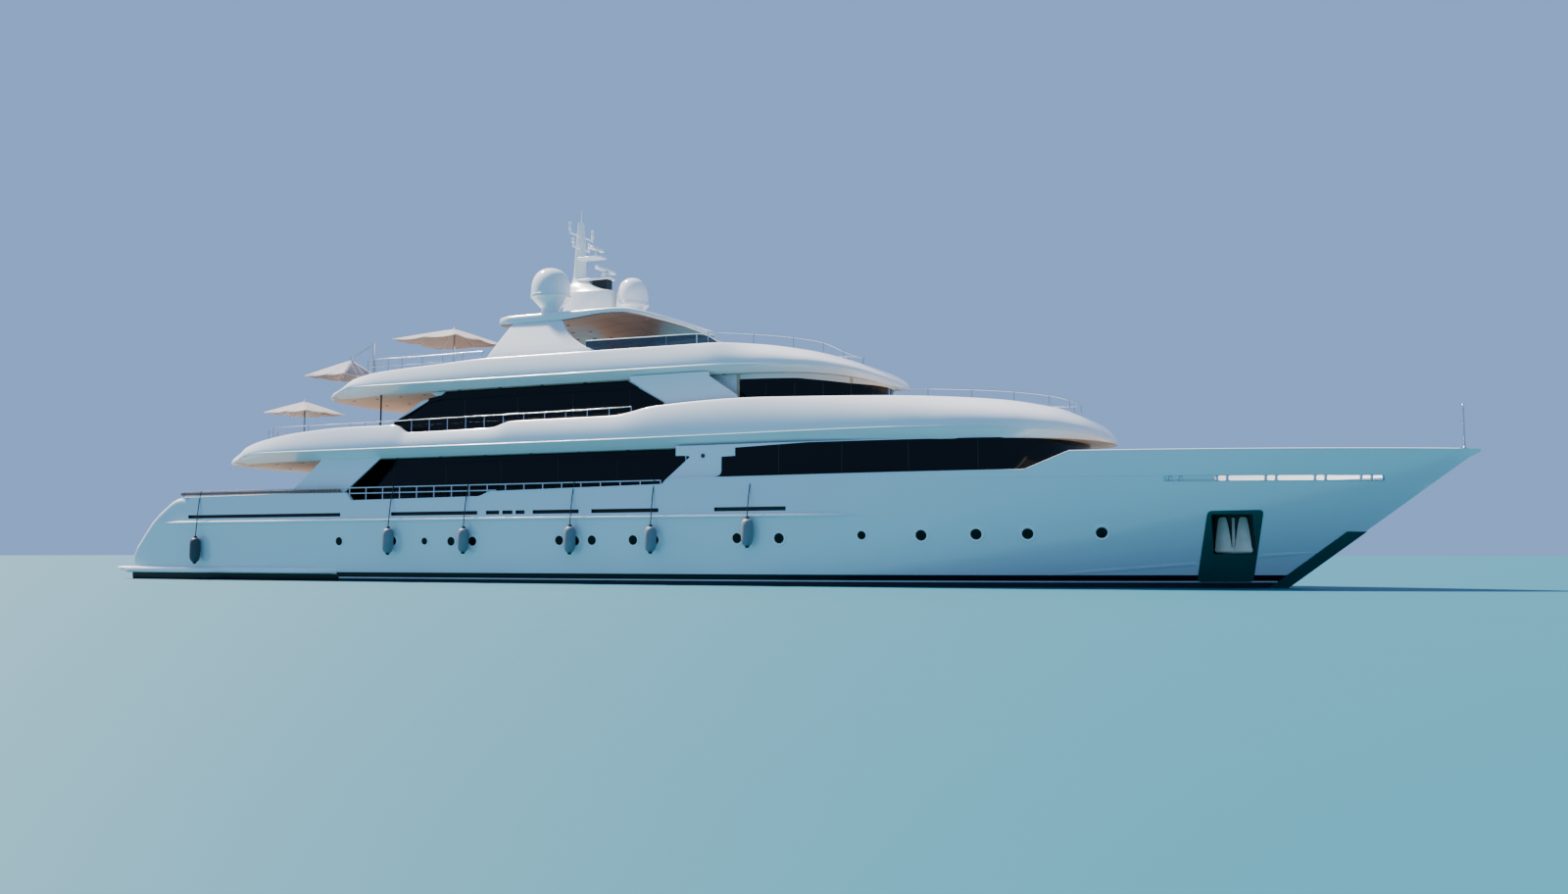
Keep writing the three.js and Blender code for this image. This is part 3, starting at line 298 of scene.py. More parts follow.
def soften(piece, width, segments=3):
    """Rounded edges"""
    rounding = piece.modifiers.new("rounding", "BEVEL")
    rounding.width = width
    rounding.segments = segments
    rounding.limit_method = "ANGLE"
    rounding.angle_limit = math.radians(30)
    settle(piece)


def smooth_by_angle(mesh, crease):
    mesh.polygons.foreach_set("use_smooth", [True] * len(mesh.polygons))
    mesh.set_sharp_from_angle(angle=math.radians(crease))


def fit(piece, nodes=(), body="yacht"):
    """Hangs the piece on the body that carries it, and hides the CAD nodes that it stands for"""
    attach(piece, body)
    if nodes:
        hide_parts(*nodes)
    return piece


def build(name, body, finishes, nodes=(), crease=30, which=None, cutters=(), rounding=(),
          ride="yacht"):
    """Piece at the origin: cut, rounded, painted, its edges sharp past the crease angle, and fitted"""
    piece = solid(name, body)
    if cutters:
        carve(piece, cutters)
    if rounding:
        soften(piece, *rounding)
    for material in finishes:
        piece.data.materials.append(material)
    smooth_by_angle(piece.data, crease)
    if which:
        for face in piece.data.polygons:
            face.material_index = which(face.center, face.normal)
    return fit(piece, nodes, ride)


# The boot top's lines rise a little as they run forward from the platform.
BOOT = {"line": 0.062, "line_top": 0.084, "band_top": 0.18, "rise": 0.028, "aft": -7.2, "run": 17}
UPPER_LEVELS = [0.24, 0.32] + [0.4 + 0.08 * i for i in range(24)]


def boot_lift(x):
    return BOOT["rise"] * clamp((x - BOOT["aft"]) / BOOT["run"], 0, 1)


def hull_ring(x):
    top = row_at(SHEER, x)[1]
    keel = keel_z(x) if x < BOW_X - 0.001 else top - 0.04
    low = [min(keel, 0) * math.cos(math.radians(a)) for a in range(0, 88, 8)]
    lines = [BOOT[key] + boot_lift(x) for key in ("line", "line_top", "band_top")]
    levels = [clamp(z, keel, top) for z in low + [0.0] + lines + UPPER_LEVELS]
    return mirrored([(x, hull_half(x, z), z) for z in levels])


def hull_room(x0, x1, deck, count):
    """Space between the bulwarks, over a deck"""
    levels = (deck, (deck + BOW_Z) / 2, BOW_Z, BOW_Z + 0.5)
    return loft([mirrored([(x, hull_half(x, z) - BULWARK, z) for z in levels])
                 for x in parted(x0, x1, count)])


STERN_DOOR = {"x": -11.98, "z": 1.512, "rake": 47.7, "width": 2.3, "length": 1.1, "thick": 0.06, "room": 0.9}


def raked(x0, x1, y0, y1, z0, z1):
    """Block square to the raked transom, measured from the stern door's hinge line"""
    turn = math.radians(90 - STERN_DOOR["rake"])
    points, faces = block(x0, x1, y0, y1, z0, z1)
    return [(
        STERN_DOOR["x"] + x * math.cos(turn) - z * math.sin(turn), y,
        STERN_DOOR["z"] + x * math.sin(turn) + z * math.cos(turn),
    ) for x, y, z in points], faces


STAIRS = {"inner": 1.35, "outer": 2.0, "steps": 5, "x": -12.65, "run": 0.22, "z": 0.3, "rise": 0.19}


def stair_well(side):
    foot, run, rise = STAIRS["x"], STAIRS["run"], STAIRS["rise"]
    profile = [(STERN_X - 0.3, 3.0), (STERN_X - 0.3, STAIRS["z"])]
    for i in range(STAIRS["steps"]):
        z = STAIRS["z"] + rise * i
        profile += [(foot + run * i, z), (foot + run * i, z + rise)]
    profile += [(-11.2, STAIRS["z"] + rise * STAIRS["steps"]), (-11.2, 3.0)]
    return slab(profile, *across(side, STAIRS["inner"], STAIRS["outer"]))


def hoop(x, y, z, radius, sides):
    """Round ring that faces across the hull"""
    angles = [2 * math.pi * i / sides for i in range(sides)]
    return [(x + radius * math.cos(a), y, z + radius * math.sin(a)) for a in angles]


def swept(path, section, side):
    """Body along a path of x and z; the section is out from the plating and square off the path"""
    rings = []
    for i, (x, z) in enumerate(path):
        a, b = path[max(i - 1, 0)], path[min(i + 1, len(path) - 1)]
        length = math.dist(a, b)
        up_x, up_z = -(b[1] - a[1]) / length, (b[0] - a[0]) / length
        rings.append([(x + up_x * up, side * (hull_half(x, z) + out), z + up_z * up) for out, up in section])
    return loft(rings)


STERN_CURVE = [(x, z) for x, z in SHEER if x < -11.3]
STERN_ROUNDING = [(-13.032, 0.276)] + STERN_CURVE[1:] + [(-11.25, 1.726)]
SCUPPERS = [
    (-11.25, -7.07), (-5.8, -3.75), (-3.55, -3.25), (-3.18, -2.95), (-2.88, -2.68), (-2.5, -1.5),
    (-1.23, 0.16),
]
BOW_SLOT = {"x0": 8.8, "x1": 11.9, "z0": 1.685, "z1": 1.76}
POCKET = {"x0": 9.4, "x1": 10.03, "z0": 0.53, "z1": 1.175, "back": 0.52}
# Bow thruster: an open tunnel from side to side.
TUNNEL = {"x": 7.6, "z": -0.85, "radius": 0.175}
room_half, gap, lip = STERN_DOOR["width"] / 2, 0.005, 0.08
cutters = [
    hull_room(-11.3, DECK_STEP_X, CURB_DECK, 59),
    hull_room(DECK_STEP_X - 0.01, 12.05, FORE_DECK, 39),
    raked(-STERN_DOOR["length"] - gap, gap, -room_half - gap, room_half + gap, -STERN_DOOR["thick"] - gap,
          0.4),
    raked(0.06 - STERN_DOOR["length"], -0.06, lip - room_half, room_half - lip,
          -STERN_DOOR["room"] - STERN_DOOR["thick"], 0.0),
    loft([hoop(TUNNEL["x"], y, TUNNEL["z"], TUNNEL["radius"], 32) for y in (-2.5, 2.5)]),
]
for name, side in SIDES:
    cutters.append(stair_well(side))
    cutters.append(swept(STERN_ROUNDING, [(-0.1, 0.04), (0.04, 0.04), (0.04, -0.1)], side))
    cutters += [block(x0, x1, *across(side, 2.0, 2.5), 1.28, 1.35) for x0, x1 in SCUPPERS]
    cutters.append(block(1.27, 2.63, *across(side, 2.25, 2.5), 1.28, 1.35))
    for hole, depth in ((BOW_SLOT, 0.3), (POCKET, POCKET["back"])):
        cutters.append(block(hole["x0"], hole["x1"], *across(side, depth, 2.5), hole["z0"], hole["z1"]))

# Two-pack polyurethane gloss over fairing filler: long soft ripples, faint clouding. The white is
# tinted ice blue as painted reflection of a blue sky.
topside_white_reflection_tint = finish("polyurethane_topside_white_reflection_tint", "e4eef0", "d3e3e8", 2.5, (0.1, 0.2), (1.1, 0.004),
                       **{"Coat Weight": 1.0, "Coat Roughness": 0.03, "Specular IOR Level": 0.6})
# Vinyl boot top: gloss black band with one white pinstripe.
boot_black = finish("boot_top_black", "06080d", "0c0f15", 0.6, (0.25, 0.4), (0.5, 0.001),
                    **{"Specular IOR Level": 0.25})
boot_white = finish("boot_stripe_white", "e9eef0", "cfd8dc", 0.8, (0.2, 0.35), (0.5, 0.001))
# Self-polishing antifouling: matt blue-black, clouded with slime.
antifouling = finish("antifouling_matt", "151b22", "26353a", 0.35, (0.6, 0.85), (0.05, 0.002))
# Painted shade: near black in the recesses, where hardly any light falls: the slots over the deck,
# the anchor pockets and the hollow under the lower scanner shelf.
recess_painted_shade = finish("recess_painted_shade_black", "07090b", "101417", 0.3, (0.3, 0.5), (0.2, 0.001))
# Grey workshop enamel lines the stern room.
garage_paint = finish("garage_enamel_grey", "8f989d", "7b858b", 0.5, (0.35, 0.5), (0.2, 0.001))


def planked(name, plank, length, woods, seam, roughness):
    """Laid planks along X: seams of another colour, grain along each plank, and shade plank by plank"""
    material, tree, place = new_material(name)
    layout = add(tree, "ShaderNodeTexBrick", {
        "Vector": place, "Color1": linear(woods[0]), "Color2": linear(woods[1]), "Mortar": linear(seam),
        "Scale": 1.0, "Mortar Size": plank * 0.06, "Mortar Smooth": 0.1, "Bias": 0.0,
        "Brick Width": length, "Row Height": plank,
    }, offset=0.37, squash=1.0)
    along = add(tree, "ShaderNodeMapping", {"Vector": place, "Scale": (3.0, 60.0, 60.0)})
    grain = add(tree, "ShaderNodeTexNoise", {"Vector": along, "Scale": 2.0, "Detail": 6.0, "Roughness": 0.65})
    weather = add(tree, "ShaderNodeTexNoise", {"Vector": place, "Scale": 1.3, "Detail": 3.0})
    dark = add(tree, "ShaderNodeMapRange", {"Value": grain, "To Min": 0.72, "To Max": 1.18})
    worn = add(tree, "ShaderNodeMapRange", {"Value": weather, "To Min": 0.85, "To Max": 1.1})
    both = add(tree, "ShaderNodeMath", {0: dark, 1: worn}, operation="MULTIPLY")
    colour = add(tree, "ShaderNodeVectorMath", {0: layout, "Scale": both}, operation="SCALE")
    height = add(tree, "ShaderNodeMath", {0: layout.outputs["Fac"], 1: grain}, operation="ADD")
    bump = add(tree, "ShaderNodeBump", {"Height": height, "Distance": 0.0008, "Strength": 0.5})
    surface = add(tree, "ShaderNodeBsdfPrincipled", {
        "Base Color": colour, "Roughness": roughness, "Normal": bump,
    })
    add(tree, "ShaderNodeOutputMaterial", {"Surface": surface})
    return material


# Laid teak: 45 mm planks with black caulking are 23 mm here, drawn 60 mm wide so that they show.
teak_deck = planked("teak_laid_deck", 0.06, 2.1, ("a98460", "96724f"), "1d1a18", 0.62)


def hull_finish(centre, normal):
    """Which of the hull's finishes a face takes"""
    x, y, z = centre
    depth = hull_half(x, z) - abs(y)
    level = normal.z > 0.98
    if level and (abs(z - CURB_DECK) < 0.002 or abs(z - FORE_DECK) < 0.002):
        return 4
    if level and x < -11.2 and 1.34 < abs(y) < 2.01:
        return 4
    # The insides of the slots and of the anchor pockets take the painted shade.
    if 1.279 < z < 1.351 and -11.3 < x < 2.7 and depth > 0.003:
        return 5
    in_length = POCKET["x0"] - 0.01 < x < POCKET["x1"] + 0.01
    in_pocket = in_length and POCKET["z0"] - 0.01 < z < POCKET["z1"] + 0.01
    if in_pocket and depth > 0.02:
        return 5
    in_garage = -12.7 < x < -11.0 and abs(y) < 1.12 and 0.2 < z < 1.2
    if in_garage and depth > 0.5 and row_at(SHEER, x)[1] - z > 0.1:
        return 6
    lift = boot_lift(x)
    if z > BOOT["band_top"] + lift:
        return 0
    # Aft of the platform's fore end the pinstripe is black like the band: painted shadow under the platform's
    # ledge.
    if z > BOOT["line_top"] + lift or x < BOOT["aft"]:
        return 1 if z > 0 else 3
    return 2 if z > BOOT["line"] + lift else 3


stations = {round(x, 3) for x, _ in SHEER} | {round(STERN_X + 0.12 * i, 3) for i in range(219)} | {BOW_X}
paints = [topside_white_reflection_tint, boot_black, boot_white, antifouling, teak_deck, recess_painted_shade, garage_paint]
build("hull_plating", loft([hull_ring(x) for x in sorted(stations)]), paints, [
    "hull", "stern_quarter_starboard", "stern_quarter_port", "bulwark_starboard", "bulwark_port",
    "bow_bulwark",
], crease=28, which=hull_finish, cutters=cutters)

# Freeing ports: hinged flaps of dark bronze-coloured plate hang behind the long slots over the
# rub rail, so that the side deck drains outward and nothing comes in. Their near black stands
# partly for the shade inside the slots: painted shade.

# Bronze-anodised plate with a dull sheen, darkened to nearly black as painted shade behind its slot.
flap_plate_shade = finish("freeing_flap_anodised_painted_shade", "2b211b", "17130f", 0.4, (0.35, 0.5), (0.05, 0.0003),
                    **{"Metallic": 0.5})


def spaced(start, end, step):
    return parted(start, end, max(1, round((end - start) / step)))


def inner_strip(xs, side, depth, z0, z1, level=None):
    """6 mm plate at a depth inside the plating, which follows it at one level or at each edge's own"""
    corners = ((depth, z0), (depth, z1), (depth + 0.006, z1), (depth + 0.006, z0))
    return loft([[(x, side * (hull_half(x, level or z) - inner), z) for inner, z in corners] for x in xs])


for name, side in SIDES:
    flaps = [inner_strip(spaced(x0 - 0.01, x1 + 0.01, 0.4), side, 0.04, 1.265, 1.365, 1.31)
             for x0, x1 in SCUPPERS]
    build(f"freeing_port_flaps_{name}", join(*flaps), [flap_plate_shade])


# Rub rail: a half-round of painted steel, welded along the side to take knocks. Slim beads of the
# same kind run along the knuckle and the spray chine of the bow.
def moulding(name, xs, z_of, side, section, paint, ends):
    """Strip along the plating; the section is out and up, and it fades over the lengths of its ends"""
    rings = []
    for x in xs:
        fade = clamp(min((x - xs[0]) / ends[0], (xs[-1] - x) / ends[1]), 0.08, 1)
        corners = [(out * fade if out > 0 else out, z_of(x) + up * fade) for out, up in section]
        rings.append([(x, side * (hull_half(x, z) + out), z) for out, z in corners])
    build(name, loft(rings), [paint])


HALF_ROUND = [(-0.03, -0.034), (0.0, -0.034), (0.028, -0.03), (0.046, -0.014), (0.048, 0.0),
              (0.038, 0.018), (0.02, 0.032), (0.0, 0.04), (-0.03, 0.042)]
# The rails take the same gloss as the topsides, duller in patches.
trim_paint = finish("polyurethane_trim_white", "f3f6f6", "e2eaec", 0.7, (0.16, 0.32), (0.4, 0.001),
                    **{"Coat Weight": 0.6, "Coat Roughness": 0.05})
KNUCKLE_BEAD = [(-0.01, -0.01), (0.004, -0.008), (0.008, 0.0), (0.0, 0.012), (-0.01, 0.012)]
SPRAY_CHINE = [(-0.01, -0.012), (0.01, -0.008), (0.014, 0.002), (0.004, 0.04), (-0.01, 0.05)]
CHINE_LINE = [(6.9, 0.2), (7.98, 0.28), (9.23, 0.38), (10.14, 0.5), (11.07, 0.57)]
for name, side in SIDES:
    moulding(f"rub_rail_{name}", spaced(-11.96, 4.0, 0.15), lambda x: 1.2, side, HALF_ROUND, trim_paint,
             (0.4, 0.6))
    moulding(f"knuckle_bead_{name}", spaced(4.6, 8.75, 0.12), lambda x: 1.772, side, KNUCKLE_BEAD,
             topside_white_reflection_tint, (1.5, 0.2))
    # The chine stops short of the anchor pocket's plate on both sides.
    for run, x0, x1, ends in (("aft", 6.9, 9.2, (0.6, 0.02)), ("fore", 10.03, 11.07, (0.02, 0.5))):
        moulding(f"spray_chine_{run}_{name}", spaced(x0, x1, 0.1), lambda x: row_at(CHINE_LINE, x)[1], side,
                 SPRAY_CHINE, topside_white_reflection_tint, ends)

# Bulwark capping: a rounded steel flat welded along the sheer, sprayed bright white; round the
# stern quarters it goes over into a wide rounded edge that runs down to the platform.
CAPPING = [(-0.05, -0.005), (-0.052, 0.004), (-0.038, 0.011), (0.0, 0.014), (0.038, 0.011), (0.054, 0.004),
           (0.052, -0.008)]
STERN_EDGE = [
    (-0.04, -0.125), (0.001, -0.125), (0.004, -0.1), (0.003, -0.075), (-0.004, -0.05), (-0.017, -0.028),
    (-0.034, -0.01), (-0.056, 0.003), (-0.08, 0.009), (-0.1, 0.01), (-0.12, 0.004), (-0.12, -0.03),
]
cap_xs = {round(x, 3) for x in spaced(-11.4, 13.0, 0.15)} | {x for x, _ in SHEER if -11.4 < x < 13.0}
cap_line = [(x, row_at(SHEER, x)[1]) for x in sorted(cap_xs)]
edge_line = [lerp(a, b, t) for a, b in zip(STERN_CURVE, STERN_CURVE[1:]) for t in (0, 0.25, 0.5, 0.75)]
for name, side in SIDES:
    rings = [[(x, side * (hull_half(x, z) - BULWARK / 2 + off), z + up) for off, up in CAPPING]
             for x, z in cap_line]
    build(f"bulwark_capping_{name}", loft(rings), [trim_paint], crease=50)
    build(f"stern_edge_{name}", swept(edge_line[1:] + STERN_CURVE[-1:], STERN_EDGE, side), [trim_paint],
          crease=50)

# Raked plates: painted aluminium stiffeners that rise from each bulwark, leaning in, and are
# welded to the edge of the soffit above.
RAKED_PLATE = [(-8.9, 1.45), (-7.85, 2.385), (-7.8, 2.445), (-6.28, 2.445), (-6.29, 2.43), (-7.47, 1.45)]
# Sprayed polyurethane over smoother filler than the hull's: the same gloss, with fainter ripples.
house_paint = finish("polyurethane_house_white", "f1f4f5", "e4eaed", 1.6, (0.14, 0.26), (0.9, 0.002),
                     **{"Coat Weight": 0.8, "Coat Roughness": 0.04})
for name, side in SIDES:
    sheets = [[(x, side * (2.23 - 0.15 * clamp((z - 1.75) / 0.63, 0, 1) - inner), z) for x, z in RAKED_PLATE]
              for inner in (0.045, 0)]
    build(f"raked_plate_{name}", loft(sheets), [house_paint], [f"bulwark_{name}"],
          crease=40, rounding=(0.008,))

# Stern platform: a composite step with rounded edges, moulded in one piece and bolted to the
# transom; its top is laid in teak.
PLATFORM = {"fore": -7.2, "top": 0.275, "reach": 0.07}
platform_x = parted(PLATFORM["fore"], STERN_X, 48)
outer = [(x, hull_half(x, PLATFORM["top"]) + PLATFORM["reach"] * min(1, i / 6) + 0.003)
         for i, x in enumerate(platform_x)]
corner = [(-13.2, 2.232), (-13.3, 2.226), (-13.35, 2.212), (-13.378, 2.188), (-13.393, 2.155), (-13.4, 2.1),
          (-13.4, 1.5)]
inner = [(x, hull_half(x, PLATFORM["top"]) - 0.01) for x in reversed(platform_x)]
rings = []
# The underside rises to a thin lip aft; each level is drawn in by its share of that undercut.
for z, draw, pull in (
    (0.145, 0.34, 0.03), (0.16, 0.3, 0.01), (0.185, 0.22, 0.0), (0.215, 0.08, 0.0), (0.235, 0.02, 0.004),
    (0.252, 0.004, 0.014), (0.264, 0.0, 0.028), (0.271, 0.004, 0.043), (0.275, 0.012, 0.062),
):
    shifts = [draw * clamp((-13.0 - x) / 0.4, 0, 1) for x, _ in inner + outer + corner]
    pulls = [0] * len(inner) + [pull] * len(outer + corner)
    rings.append(mirrored([(x + s, y - p, z) for (x, y), s, p in zip(inner + outer + corner, shifts, pulls)]))
build("stern_platform", loft(rings), [trim_paint], ["swim_platform"], crease=45)
MAT = [(-13.045, 2.08), (-13.26, 2.08), (-13.3, 2.065), (-13.32, 2.03), (-13.325, 1.98)]
plan = MAT + [(x, -y) for x, y in reversed(MAT)]
build("platform_teak", loft([[(x, y, z) for x, y in plan] for z in (0.272, 0.2795)]), [teak_deck])

# Portholes: fixed round lights of black toughened glass in pale pressed rims, which are screwed to
# the plating over a gasket.
def node_group(name, *inputs):
    """Empty geometry tree with its named inputs, and their sockets"""
    tree = bpy.data.node_groups.new(name, "GeometryNodeTree")
    for label, kind in inputs:
        tree.interface.new_socket(label, in_out="INPUT", socket_type=f"NodeSocket{kind}")
    tree.interface.new_socket("Geometry", in_out="OUTPUT", socket_type="NodeSocketGeometry")
    return tree, add(tree, "NodeGroupInput").outputs


def end_group(tree, shape, material):
    """Realises the instances, gives them their finish and ends the tree"""
    real = add(tree, "GeometryNodeRealizeInstances", {0: shape})
    coated = add(tree, "GeometryNodeSetMaterial", {"Geometry": real, "Material": material})
    add(tree, "NodeGroupOutput", {"Geometry": coated})


# One tree stands a copy of a fitting on each point, turned to face outward and scaled.
fitting_tree, given = node_group("fittings_on_points", ("Geometry", "Geometry"), ("Fitting", "Object"),
                                 ("Finish", "Material"))
facing = add(fitting_tree, "GeometryNodeInputNamedAttribute", {"Name": "facing"}, data_type="FLOAT_VECTOR")
size = add(fitting_tree, "GeometryNodeInputNamedAttribute", {"Name": "size"}, data_type="FLOAT")
turn = add(fitting_tree, "FunctionNodeAlignRotationToVector", {"Vector": facing}, axis="Z")
shape = add(fitting_tree, "GeometryNodeObjectInfo", {"Object": given["Fitting"], "As Instance": True})
placed = add(fitting_tree, "GeometryNodeInstanceOnPoints", {
    "Points": given["Geometry"], "Instance": shape.outputs["Geometry"], "Rotation": turn, "Scale": size,
})
end_group(fitting_tree, placed, given["Finish"])


def geometry_nodes(piece, tree, values):
    """Runs a node tree on the piece with its named inputs set, and keeps the plain mesh"""
    modifier = piece.modifiers.new(tree.name, "NODES")
    modifier.node_group = tree
    for item in tree.interface.items_tree:
        if item.item_type == "SOCKET" and item.in_out == "INPUT" and item.name in values:
            modifier[item.identifier] = values[item.name]
    return settle(piece)


def fittings(name, places, fitting, material, crease=40):
    """One copy of the fitting at each place: point, outward direction and size"""
    template = solid(f"{name}_template", fitting)
    mesh = bpy.data.meshes.new(name)
    mesh.from_pydata([tuple(p) for p, _, _ in places], [], [])
    mesh.attributes.new("facing", "FLOAT_VECTOR", "POINT")
    mesh.attributes.new("size", "FLOAT", "POINT")
    for i, (_, normal, scale) in enumerate(places):
        mesh.attributes["facing"].data[i].vector = normal
        mesh.attributes["size"].data[i].value = scale
    piece = geometry_nodes(linked(name, mesh), fitting_tree, {"Fitting": template, "Finish": material})
    bpy.data.objects.remove(template)
    smooth_by_angle(piece.data, crease)
    fit(piece)


def turned(rows, sides=24, x=0.0, y=0.0):
    """Turned body about a vertical axis, from rows of radius and height, closed on the axis"""
    angles = [2 * math.pi * i / sides for i in range(sides)]
    return loft([[(x + r * math.cos(a), y + r * math.sin(a), z) for a in angles] for r, z in rows])


PORTHOLES = [
    (-7.11, 0.79), (-5.77, 0.79), (-5.0, 0.785), (-4.37, 0.78), (-3.87, 0.78), (-1.93, 0.79), (-1.59, 0.78),
    (-1.23, 0.79), (-0.37, 0.79), (0.06, 0.79), (1.7, 0.815), (2.49, 0.81), (3.96, 0.855), (4.96, 0.85),
    (5.85, 0.865), (6.66, 0.87), (7.79, 0.885),
]
# Toughened glass, black behind, with the green cast of thick float glass.
dark_glass = finish("float_glass_black", "040707", "070c0a", 0.9, (0.05, 0.12), (1.2, 0.0015),
                    **{"IOR": 1.52, "Specular IOR Level": 0.18})
SMALL_LIGHTS = (-5.0, 3.96)
port_places = []
for x, z in PORTHOLES:
    radius = (0.104 + 0.0007 * (x + 7.15)) * (0.8 if x in SMALL_LIGHTS else 1)
    port_places += [(*hull_side(x, z, side, 0.001), radius) for _, side in SIDES]
RIM = [(0.86, -0.05), (1.2, -0.05), (1.18, 0.06), (1.08, 0.12), (0.95, 0.1), (0.86, 0.02)]
fittings("porthole_rims", port_places, turned(RIM, 32), trim_paint)
LIGHT = [(0.9, -0.04), (0.9, 0.015), (0.6, 0.03), (0.0001, 0.035)]
fittings("porthole_lights", port_places, turned(LIGHT, 32), dark_glass)

# Anchor pockets: polished plate welded round each pocket and down to the keel side, and the same
# plate folded round the stem, where the ground tackle would chafe. Its dark green is painted reflection.

# Rolled plate with a soft polish: a deep green painted reflection that wavers with the ripples of the sheet.
pocket_plate_painted_reflection = finish("polished_plate_painted_reflection", "24685f", "18524c", 0.5, (0.15, 0.3), (0.12, 0.0015),
                      **{"Metallic": 0.25})


def rounded(corners, radius, along=14, turn=6):
    """Outline of a four-cornered plate with rounded corners, evenly numbered"""
    points = []
    for k, here in enumerate(corners):
        before, after = Vector(corners[k - 1]), Vector(corners[(k + 1) % len(corners)])
        here = Vector(here)
        start = here + (before - here).normalized() * radius
        end = here + (after - here).normalized() * radius
        points += [(start.lerp(here, t)).lerp(here.lerp(end, t), t)
                   for t in (i / turn for i in range(turn + 1))]
        onward = after + (here - after).normalized() * radius
        points += [end.lerp(onward, i / along) for i in range(1, along)]
    return points


def skin_plate(name, outlines, side, out, material):
    """Plate that follows the plating through outlines of x and z, twice as thick as it stands out"""
    rings = [[hull_side(p.x, p.y, side, out)[0] for p in outline] for outline in outlines]
    rings += [[hull_side(p.x, p.y, side, -out)[0] for p in outline]
              for outline in (outlines[0], outlines[-1])]
    n = len(rings[0])
    loops = [[k * n + i for i in range(n)] for k in range(len(rings))]

    def strip(a, b, i):
        j = (i + 1) % n
        return (a[i], a[j], b[j], b[i])

    front, first, last = loops[:-2], loops[-2], loops[-1]
    faces = [strip(a, b, i) for a, b in zip(front, front[1:]) for i in range(n)]
    for i in range(n):
        faces += [strip(front[0], first, i), strip(front[-1], last, i), strip(first, last, i)]
    body = [p for ring in rings for p in ring], faces
    build(name, body, [material], crease=35)


for name, side in SIDES:
    whole = rounded([(9.38, 1.22), (10.19, 1.235), (9.95, 0.1), (9.125, 0.1)], 0.07)
    hole = rounded([(9.425, 1.17), (10.025, 1.17), (10.025, 0.535), (9.405, 0.535)], 0.03)
    steps = [[a.lerp(b, t) for a, b in zip(whole, hole)] for t in parted(0, 1, 6)]
    skin_plate(f"pocket_plate_{name}", steps, side, 0.008, pocket_plate_painted_reflection)


def stem_x(z):
    if z > 0:
        return STEM_FOOT_X + z * (BOW_X - STEM_FOOT_X) / BOW_Z
    return 6 + (STEM_FOOT_X - 6) * math.sqrt(1 + z / DRAUGHT)


GUARD_REACH = 0.27
guard_rings = []
for z in spaced(-0.5, 0.9, 0.035):
    outside = [hull_side(stem_x(z) - GUARD_REACH * s, z, 1, 0.016)[0]
               for s in (1, 0.9, 0.8, 0.7, 0.6, 0.5, 0.4, 0.3, 0.2, 0.12)] + [(stem_x(z) + 0.022, 0.012, z)]
    inside = [hull_side(stem_x(z) - GUARD_REACH * s, z, 1, -0.012)[0] for s in (0.12, 0.5, 1)]
    guard_rings.append(mirrored(outside) + [(x, -y, z) for x, y, z in reversed(inside)] + inside)
build("stem_guard", loft(guard_rings), [pocket_plate_painted_reflection], crease=40)

# Bow fairleads: the long slot of each bulwark has a polished frame welded in it, and bright
# upright rollers to lead the mooring lines. A painted plate shuts the aft quarter of the slot.

# Polished 316 stainless: bright and a little bluish, in patches rubbed duller by hands.
steel = finish("stainless_polished_316", "d9dde0", "c3c9ce", 0.3, (0.1, 0.22), (0.05, 0.0002),
               **{"Metallic": 1.0})
ROLLER = [(0.03, 0.0), (0.034, 0.008), (0.024, 0.016), (0.022, 0.042), (0.024, 0.068), (0.034, 0.076),
          (0.03, 0.084)]
for name, side in SIDES:
    whole = rounded([(8.775, 1.769), (11.925, 1.769), (11.925, 1.676), (8.775, 1.676)], 0.022, along=48)
    hole = rounded([(8.79, 1.763), (11.91, 1.763), (11.91, 1.682), (8.79, 1.682)], 0.012, along=48)
    skin_plate(f"fairlead_frame_{name}", [whole, hole], side, 0.006, steel)
    build(f"fairlead_backing_{name}", inner_strip(spaced(8.78, 9.52, 0.1), side, 0.05, 1.67, 1.775),
          [trim_paint])
roller_places = [((x, side * (hull_half(x, 1.72) - 0.045), 1.68), (0, 0, 1), 1.0)
                 for x in (8.87, 9.02, 9.55, 9.7, 10.25, 10.4, 10.95, 11.1, 11.6, 11.75) for _, side in SIDES]
fittings("fairlead_rollers", roller_places, turned(ROLLER, 20), steel)

# Jackstaff: a thin spar of polished tube with a ball truck, turned in one piece, stepped in a
# socket on the stem head.
JACKSTAFF = [
    (0.045, 2.13), (0.045, 2.17), (0.032, 2.182), (0.019, 2.2), (0.016, 2.3), (0.012, 2.82), (0.011, 2.83),
    (0.018, 2.838), (0.021, 2.848), (0.014, 2.858), (0.0001, 2.86),
]
build("jackstaff", turned(JACKSTAFF, 20, 13.07), [steel], ["bow_bulwark"])


# Stern door: a flat leaf of painted aluminium on the raked transom, which swings up on knuckles
# along its top edge.
def dress(node, material):
    """Gives a kept CAD node its finish"""
    for slot in bpy.data.objects[node].material_slots:
        slot.link = "OBJECT"
        slot.material = material


dress("transom_door", house_paint)

